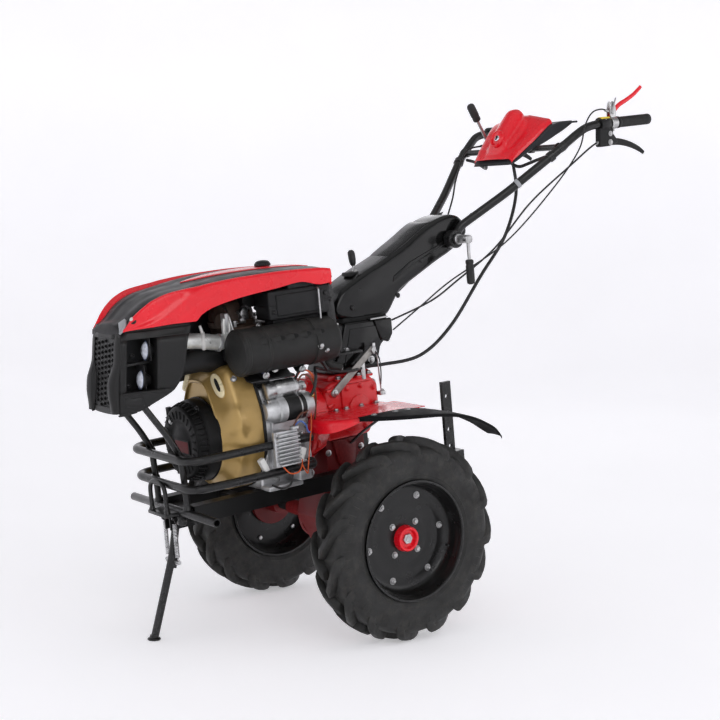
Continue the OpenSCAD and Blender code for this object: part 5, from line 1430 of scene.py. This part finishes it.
# ---------------------------------------------------------------- handlebar
BAR = [(-456, 76, 744), (-478, 76, 772), (-605, 144, 857), (-731, 215, 954), (-796, 236, 1000), (-828, 247, 1020), (-862, 250, 1026.9), (-1080, 250, 1030.7)]
for side_name, s in (("left", 1), ("right", -1)):
    part = Part(side_name + "_handle_tube", "handlebar", (side_name + "_bar",), "black_paint")
    pts = rounded([(x, y * s, z) for x, y, z in BAR], [14, 26, 40, 16, 16, 14], 8)
    part.add(sweep(pts, 12.4, 20), M_BLACK)
    part.add(lathe([(9, 0), (24, 0), (26, 2), (26, 27), (24, 29.5), (9, 29.5)], (-450, 60.6 * s, 738), (0, s, 0), 40), M_BLACK)
    # toothed face, gusset and weld round the hub
    for k in range(24):
        a = 2 * math.pi * k / 24
        part.add(([(x, y * s, z) for x, y, z in box(-1.4, 1.4, 88.5, 91.6, 17, 25)[0]], box(0, 1, 0, 1, 0, 1)[1]) if False else
                 moved(([(x, y * s, z) for x, y, z in box(-1.3, 1.3, 88.5, 91.4, 17, 25)[0]], box(0, 1, 0, 1, 0, 1)[1]),
                       Matrix.Translation((-450, 0, 738)) @ Matrix.Rotation(a, 4, "Y")), M_STEEL if s < 0 else M_BLACK, 0.4, 1)
    gus = [(-452, 762), (-468, 770), (-520, 806), (-540, 810), (-520, 790), (-474, 742)]
    part.add(([(x, y * s, z) for x, y, z in prism("y", gus, 73.5, 78.5)[0]], prism("y", [(0, 0)] * 6, 0, 1)[1]), M_BLACK, 1.2, 2)
    if s > 0:
        part.add(lathe([(12.2, -6), (13.6, -5), (13.8, 0), (13.6, 5), (12.2, 6)], (-633, 160, 878.5), (-0.72, 0.41, 0.56), 24), M_GREYSHEET)
    part.add(sweep([(-748, 221 * s, 966), (-757, 224 * s, 972.4), (-766, 227 * s, 979)], [12.6, 14, 12.6], 20), M_BLACK)
    part.done()

    part = Part(side_name + "_rubber_grip", "handlebar", (side_name + "_grip",), "grip_rubber", 30)
    g0 = Vector((-954, 250 * s, 1028.5))
    gd = Vector((-math.cos(math.radians(1)), 0, math.sin(math.radians(1))))
    prof = [(12.8, 0), (17, 0), (17.6, 1.5), (17.6, 5), (16, 7)]
    for k in range(22):
        t = 10 + 5 * k
        prof += [(15.9, t), (14.9, t + 0.8), (14.9, t + 1.8), (15.9, t + 2.6)]
    prof += [(16.0, 122), (16.2, 126), (15.6, 130), (13, 131.8), (6, 132), (0, 131.6)]
    part.add(lathe(prof, g0, gd, 36), M_GRIP)
    part.done()

    part = Part(side_name + "_clutch_lever", "handlebar", (side_name + "_lever",), "black_plastic", 34)
    ring = Vector((-880, 250 * s, 1027.2))
    part.add(lathe([(12.8, 0), (18, 0), (19, 1.5), (19, 36), (18, 37.8), (12.8, 37.8)], ring, gd, 32), M_PLASTIC)
    part.add(([(x, y * s, z) for x, y, z in prism("y", [(-912, 962), (-876, 961), (-872, 966), (-876, 1016), (-930, 1016), (-929, 997), (-942, 982), (-946, 970)], 239.5, 260.5)[0]],
              prism("y", [(0, 0)] * 8, 0, 1)[1]), M_COARSE, 3, 3)
    part.add(([(x, y * s, z) for x, y, z in box(-905, -893, 240, 260, 1030, 1046)[0]], box(0, 1, 0, 1, 0, 1)[1]), M_PLASTIC, 2.5, 2)
    part.bolt((-899, 260 * s, 1037), (0, s, 0), 4, 4)
    part.bolt((-914, 260.5 * s, 973), (0, s, 0), 5.5, 4.5)
    part.bolt((-916, 260.5 * s, 998), (0, s, 0), 5, 4)
    part.bolt((-914, 239.5 * s, 973), (0, -s, 0), 5.5, 4.5)
    blade = through([(-905, 250 * s, 974), (-935, 250 * s, 974), (-965, 250 * s, 971), (-1000, 250 * s, 962), (-1030, 250 * s, 950), (-1048, 250 * s, 940), (-1058, 250 * s, 933)], 5)
    rr = [7.0 - 3.6 * (i / (len(blade) - 1)) ** 1.3 for i in range(len(blade))]
    part.add(sweep(blade, rr, 16, flat=1.6), M_COARSE)
    # cable stop
    part.add(sweep([(-884, 250 * s, 978), (-872, 250 * s, 974), (-866, 250 * s, 972)], [6, 5.4, 4.4], 14), M_STEEL)
    if s > 0:
        part.add(box(-918, -882, 243, 262, 1036, 1047.6), M_YELLOW, 3, 2)
    part.done()

part = Part("red_throttle_lever", "handlebar", ("throttle_lever",), "red_paint", 34)
part.add(lathe([(12.8, 0), (17, 0), (18, 1.2), (18, 22.8), (17, 24), (12.8, 24)], (-924, 250, 1027.95), gd, 32), M_STEEL)
for y0 in (241.5, 254.5):
    pl = [(-922, 1042), (-944, 1042), (-950, 1058), (-944, 1084), (-934, 1094), (-924, 1078)]
    part.add(prism("y", smooth_outline(pl, 1), y0, y0 + 3), M_STEEL, 0.8, 1)
part.add(sweep([(-936, 240, 1058), (-936, 261, 1058)], 4.5, 14), M_STEEL)
part.add(sweep([(-938, 250, 1044), (-940, 250, 1020), (-940, 250, 1004)], [5, 4, 3.4], 12), M_STEEL)
part.add(sweep([(-928, 258, 1056), (-936, 261, 1080), (-944, 262, 1100)], [5, 3.4, 2.6], 12, flat=0.5), M_STEEL)
part.add(sweep([(-926, 250, 1062), (-916, 250.5, 1064), (-908, 251, 1066)], [4.6, 4.2, 3.6], 12), M_STEEL)
arm = through([(-932, 250, 1046), (-940, 250, 1056), (-952, 250, 1068), (-970, 250, 1080), (-1000, 250, 1092), (-1030, 250, 1106), (-1052, 250, 1120), (-1062, 250, 1127)], 6)
part.add(sweep(arm, [5.6 - 1.6 * i / (len(arm) - 1) for i in range(len(arm))], 14, flat=1.4), M_RED)
part.done()

part = Part("tilt_clamp", "handlebar", ("clamp_handle",), "plated_steel")
part.add(lathe([(0, 0), (14, 0), (15, 1.5), (15, 10), (13, 12), (11, 12), (11, 40), (12.5, 41), (12.5, 55), (11, 56), (0, 56)], (-450, 91, 738), (0, 1, 0), 32), M_STEEL)
for k in range(22):
    a = 2 * math.pi * k / 22
    part.add(sweep([(-450 + 11.2 * math.cos(a), 104, 738 + 11.2 * math.sin(a)), (-450 + 11.2 * math.cos(a), 130, 738 + 11.2 * math.sin(a))], 0.9, 5), M_STEEL)
part.add(sweep(rounded([(-450, 140, 742), (-450, 140, 716), (-450, 140, 676)], 8, 4), 4.8, 14), M_STEEL)
part.add(lathe([(4.5, 0), (8, 0), (11.6, 2.5), (11.8, 10), (10.8, 12), (10.8, 16), (11.8, 18), (11.8, 62), (10.4, 68), (6, 71), (0, 71.6)], (-450, 140, 680), (0, 0, -1), 28), M_GRIP)
part.done()

part = Part("cross_brace", "handlebar", ("bar_brace",), "black_paint")
part.add(lathe([(0, -208), (9, -208), (9, 208), (0, 208)], (-757, 0, 972.4), (0, 1, 0), 24), M_BLACK)
part.add(lathe([(0, -60), (9.9, -60), (9.9, 60), (0, 60)], (-450, 0, 738), (0, 1, 0), 24), M_STEEL)
for s in (1, -1):
    part.add(lathe([(8.8, 0), (12, 4), (13, 9)], (-757, 199 * s, 972.4), (0, s, 0), 20), M_BLACK)
    # strap brackets that carry the console
    part.add(([(x, y * s, z) for x, y, z in prism("x", [(78, 972), (84, 985), (100, 990), (104, 976), (96, 960), (84, 960)], -766, -748)[0]], prism("x", [(0, 0)] * 6, 0, 1)[1]), M_BLACK, 2, 2)
    part.add(sweep(rounded([(-700, 56 * s, 940), (-716, 70 * s, 920), (-740, 150 * s, 944), (-744, 196 * s, 952)], 20, 6), 5, 12), M_BLACK)
    part.add(lathe([(12.6, 0), (15.5, 1), (15.5, 17), (12.6, 18)], (-716, 206.6 * s, 942.4), (-0.72, 0.41 * s, 0.56), 24), M_BLACK)
part.done()

# console: red cover over a black base
CONSOLE = [(-684, 88, 943, 954, 38, 955), (-692, 91, 950, 965, 38, 968), (-698, 93, 954, 971, 38, 982), (-705, 96, 960, 979, 39, 1014), (-716, 100, 969, 987, 40, 1034),
           (-730, 105, 980, 999, 41, 1050), (-750, 113, 996, 1015, 42, 1073), (-770, 119, 1013, 1032, 42, 1091), (-784, 123, 1025, 1043, 36, 1093),
           (-800, 126, 1037, 1053, 25, 1074), (-812, 127, 1043, 1057, 20, 1064)]
part = Part("console_shell", "handlebar", ("console_cover",), "red_paint", 60)
rows = []
for i in range(65):
    x = -684 - 128 * i / 64
    w, lo, top, hw, hz = (table_at(CONSOLE, x, c) for c in (1, 2, 3, 4, 5))
    half = [(w - 2, lo - 1), (w, lo), (w - 1.5, lo + (top - lo) * 0.45), (w - 6, top - 3.0), (w - 11, top - 0.4), (w - 17, top + 0.6)]
    tilt = 15 * soft((-x - 745) / 60)
    rise = max(hz - top - tilt, 0)
    edge = hw + 10
    half += [((w - 17) + (edge - (w - 17)) * k, top + 0.6 + tilt * k) for k in (0.35, 0.7, 1.0)]
    base = top + 0.6 + tilt
    half += [(hw + 10 * (1 - t), base + rise * 0.2 * soft(t)) for t in (0.5, 1.0)]
    half += [(hw * math.cos(a), base + rise * (0.2 + 0.8 * math.sin(a))) for a in (math.radians(d) for d in (12, 26, 40, 54, 68, 80, 90))]
    rows.append([(x, y, z) for y, z in half] + [(x, -y, z) for y, z in reversed(half[:-1])])
rows = [[(x + 3, y * 0.97, z - 5) for x, y, z in rows[0]]] + rows + [[(x - 3, y * 0.98, z - 4) for x, y, z in rows[-1]], [(x - 3, y * 0.96, z - 14) for x, y, z in rows[-1]]]
part.add(loft(rows, caps=False, close=False), M_RED)
# key switch in a hooded ring at the hump's front end
kd = Vector((0.86, 0, 0.5)).normalized()
ko = Vector((-708, 0, 1010))
part.add(lathe([(27, -10), (28, 0), (27.4, 5), (25, 7), (22.6, 5), (21.5, -6)], ko, kd, 44), M_RED)
part.add(lathe([(22, -5), (20, -3), (16, -1.5), (12, -1.5), (0, -1.5)], ko, kd, 36), M_WHITE)
part.add(lathe([(0, -2), (10, -2), (10, 4), (8.4, 6), (0, 6)], ko, kd, 28), M_CHROME)
part.add(moved(box(-2, 2, -7, 7, 0, 3), Matrix.Translation(ko + kd * 5.6) @ kd.to_track_quat("Z", "Y").to_matrix().to_4x4()), M_DARK, 0.5, 1)
part.done()

BASE = [(-676, 82, 932, 936), (-684, 86, 934, 941), (-700, 92, 942, 954), (-730, 105, 962, 978), (-750, 114, 974, 994), (-776, 126, 986, 1016),
        (-800, 134, 998, 1035), (-815, 136, 1005, 1040), (-846, 142, 1020, 1046), (-872, 149, 1036, 1046)]
part = Part("console_tray", "handlebar", ("console_base",), "black_plastic", 40)
rows = []
for i in range(41):
    x = -676 - 196 * i / 40
    w, lo, top = (table_at(BASE, x, c) for c in (1, 2, 3))
    rows.append([(x, -w + 3, lo), (x, -w - 0.4, lo + 3), (x, -w - 1, top - 3), (x, -w + 2, top), (x, w - 2, top), (x, w + 1, top - 3), (x, w + 0.4, lo + 3), (x, w - 3, lo)])
part.add(loft(rows), M_BASE)
for s in (1, -1):
    part.add(([(x, y * s, z) for x, y, z in box(-766, -748, 60, 84, 981.6, 992)[0]], box(0, 1, 0, 1, 0, 1)[1]), M_COARSE, 2, 2)
    part.bolt((-700, 60 * s, 939), (0, 0, -1), 5, 4)
    # rear corner ears that run out to the tubes
    ear = [(-846, 120), (-872, 148), (-884, 160), (-878, 166), (-852, 146), (-836, 136)]
    part.add(([(x, y * s, z) for x, y, z in prism("z", ear, 1038, 1044)[0]], prism("z", [(0, 0)] * 6, 0, 1)[1]), M_BASE, 1.5, 2)
part.add(box(-772, -752, -138, -98, 988, 996), M_COARSE, 2, 2)
part.done()

part = Part("gear_shift_lever", "handlebar", ("gear_lever",), "black_plastic")
gl = Vector((-777, -129, 1000))
gu = Vector((math.sin(math.radians(27)), 0, math.cos(math.radians(27))))
part.add(sweep([gl, gl + gu * 40, gl + gu * 86], 5, 16), M_STEEL)
part.add(lathe([(5, 0), (9, 0), (11.6, 2.5), (12.4, 8), (11.4, 14), (12.6, 20), (12.6, 48), (11, 55), (6, 58.5), (0, 59)], gl + gu * 77, gu, 28), M_GRIP)
part.add(lathe([(5, 0), (12, 0), (12, 4), (8, 9), (5, 10)], gl - gu * 1, gu, 24), M_CABLE)
part.done()

# ---------------------------------------------------------------- floor, backdrop, light
def sheet_mesh(name, verts, faces, mat):
    me = bpy.data.meshes.new(name)
    me.from_pydata(verts, [], faces)
    for p in me.polygons:
        p.use_smooth = True
    me.materials.append(mat)
    ob = bpy.data.objects.new(name, me)
    scene.collection.objects.link(ob)
    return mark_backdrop(ob)


fm = Nodes("pale_studio_floor")
fm.base(fm.mix(fm.ramp(fm.noise(1.2, 3), 0.3, 0.7), (0.90, 0.895, 0.915, 1), (0.93, 0.925, 0.945, 1)))
fm.rough(fm.span(fm.noise(3, 3), 0.3, 0.7, 0.85, 0.95))
fm.set(Specular_IOR_Level=0.1)
# the sweep glows evenly, a touch less towards its far wall
reach = fm.n("ShaderNodeVectorMath", operation="LENGTH")
fm.link(fm.co, reach.inputs[0])
fm.link(fm.span(reach.outputs["Value"], 2.0, 7.5, 0.345, 0.33), fm.b.inputs["Emission Strength"])
fm.b.inputs["Emission Color"].default_value = (0.985, 0.98, 1.0, 1)
n, prof = 48, []
R, H = 9.0, 7.0
rings = [0.0, 4.0, R - 2.5] + [R - 2.5 + 2.5 * math.sin(math.pi / 2 * k / 10) for k in range(1, 11)] + [R]
hts = [0.0, 0.0, 0.0] + [2.5 * (1 - math.cos(math.pi / 2 * k / 10)) for k in range(1, 11)] + [H]
verts = [(r * math.cos(2 * math.pi * i / n), r * math.sin(2 * math.pi * i / n), h) for r, h in zip(rings[1:], hts[1:]) for i in range(n)] + [(0, 0, 0)]
faces = [(j * n + i, (j + 1) * n + i, (j + 1) * n + (i + 1) % n, j * n + (i + 1) % n) for j in range(len(rings) - 2) for i in range(n)]
faces += [(len(verts) - 1, i, (i + 1) % n) for i in range(n)]
sheet_mesh("studio_sweep", verts, faces, fm.mat)


def area(name, loc, target, size, power, colour=(1, 1, 1)):
    li = bpy.data.lights.new(name, "AREA")
    li.shape, li.size, li.size_y, li.energy, li.color = "RECTANGLE", size[0], size[1], power, colour
    ob = bpy.data.objects.new(name, li)
    scene.collection.objects.link(ob)
    ob.location = loc
    ob.rotation_mode = "QUATERNION"
    ob.rotation_quaternion = (Vector(target) - Vector(loc)).to_track_quat("-Z", "Y")
    return ob


area("key_softbox", (2.2, 4.6, 3.6), (0, 0, 0.7), (3.0, 2.4), 40)
area("top_softbox", (0.2, 0.6, 4.6), (0, 0, 0.6), (4.5, 4.0), 20)
area("front_strip", (4.8, -0.4, 1.7), (0, 0, 0.7), (1.4, 2.6), 6)
area("back_fill", (-3.6, -3.6, 3.0), (0, 0, 0.8), (3.0, 2.4), 12)
area("side_fill", (-3.4, 3.6, 1.6), (0, 0, 0.6), (2.2, 2.0), 8)

world = bpy.data.worlds.new("studio_world")
scene.world = world
world.use_nodes = True
world.node_tree.nodes["Background"].inputs["Color"].default_value = (0.96, 0.96, 1.0, 1)
world.node_tree.nodes["Background"].inputs["Strength"].default_value = 0.28
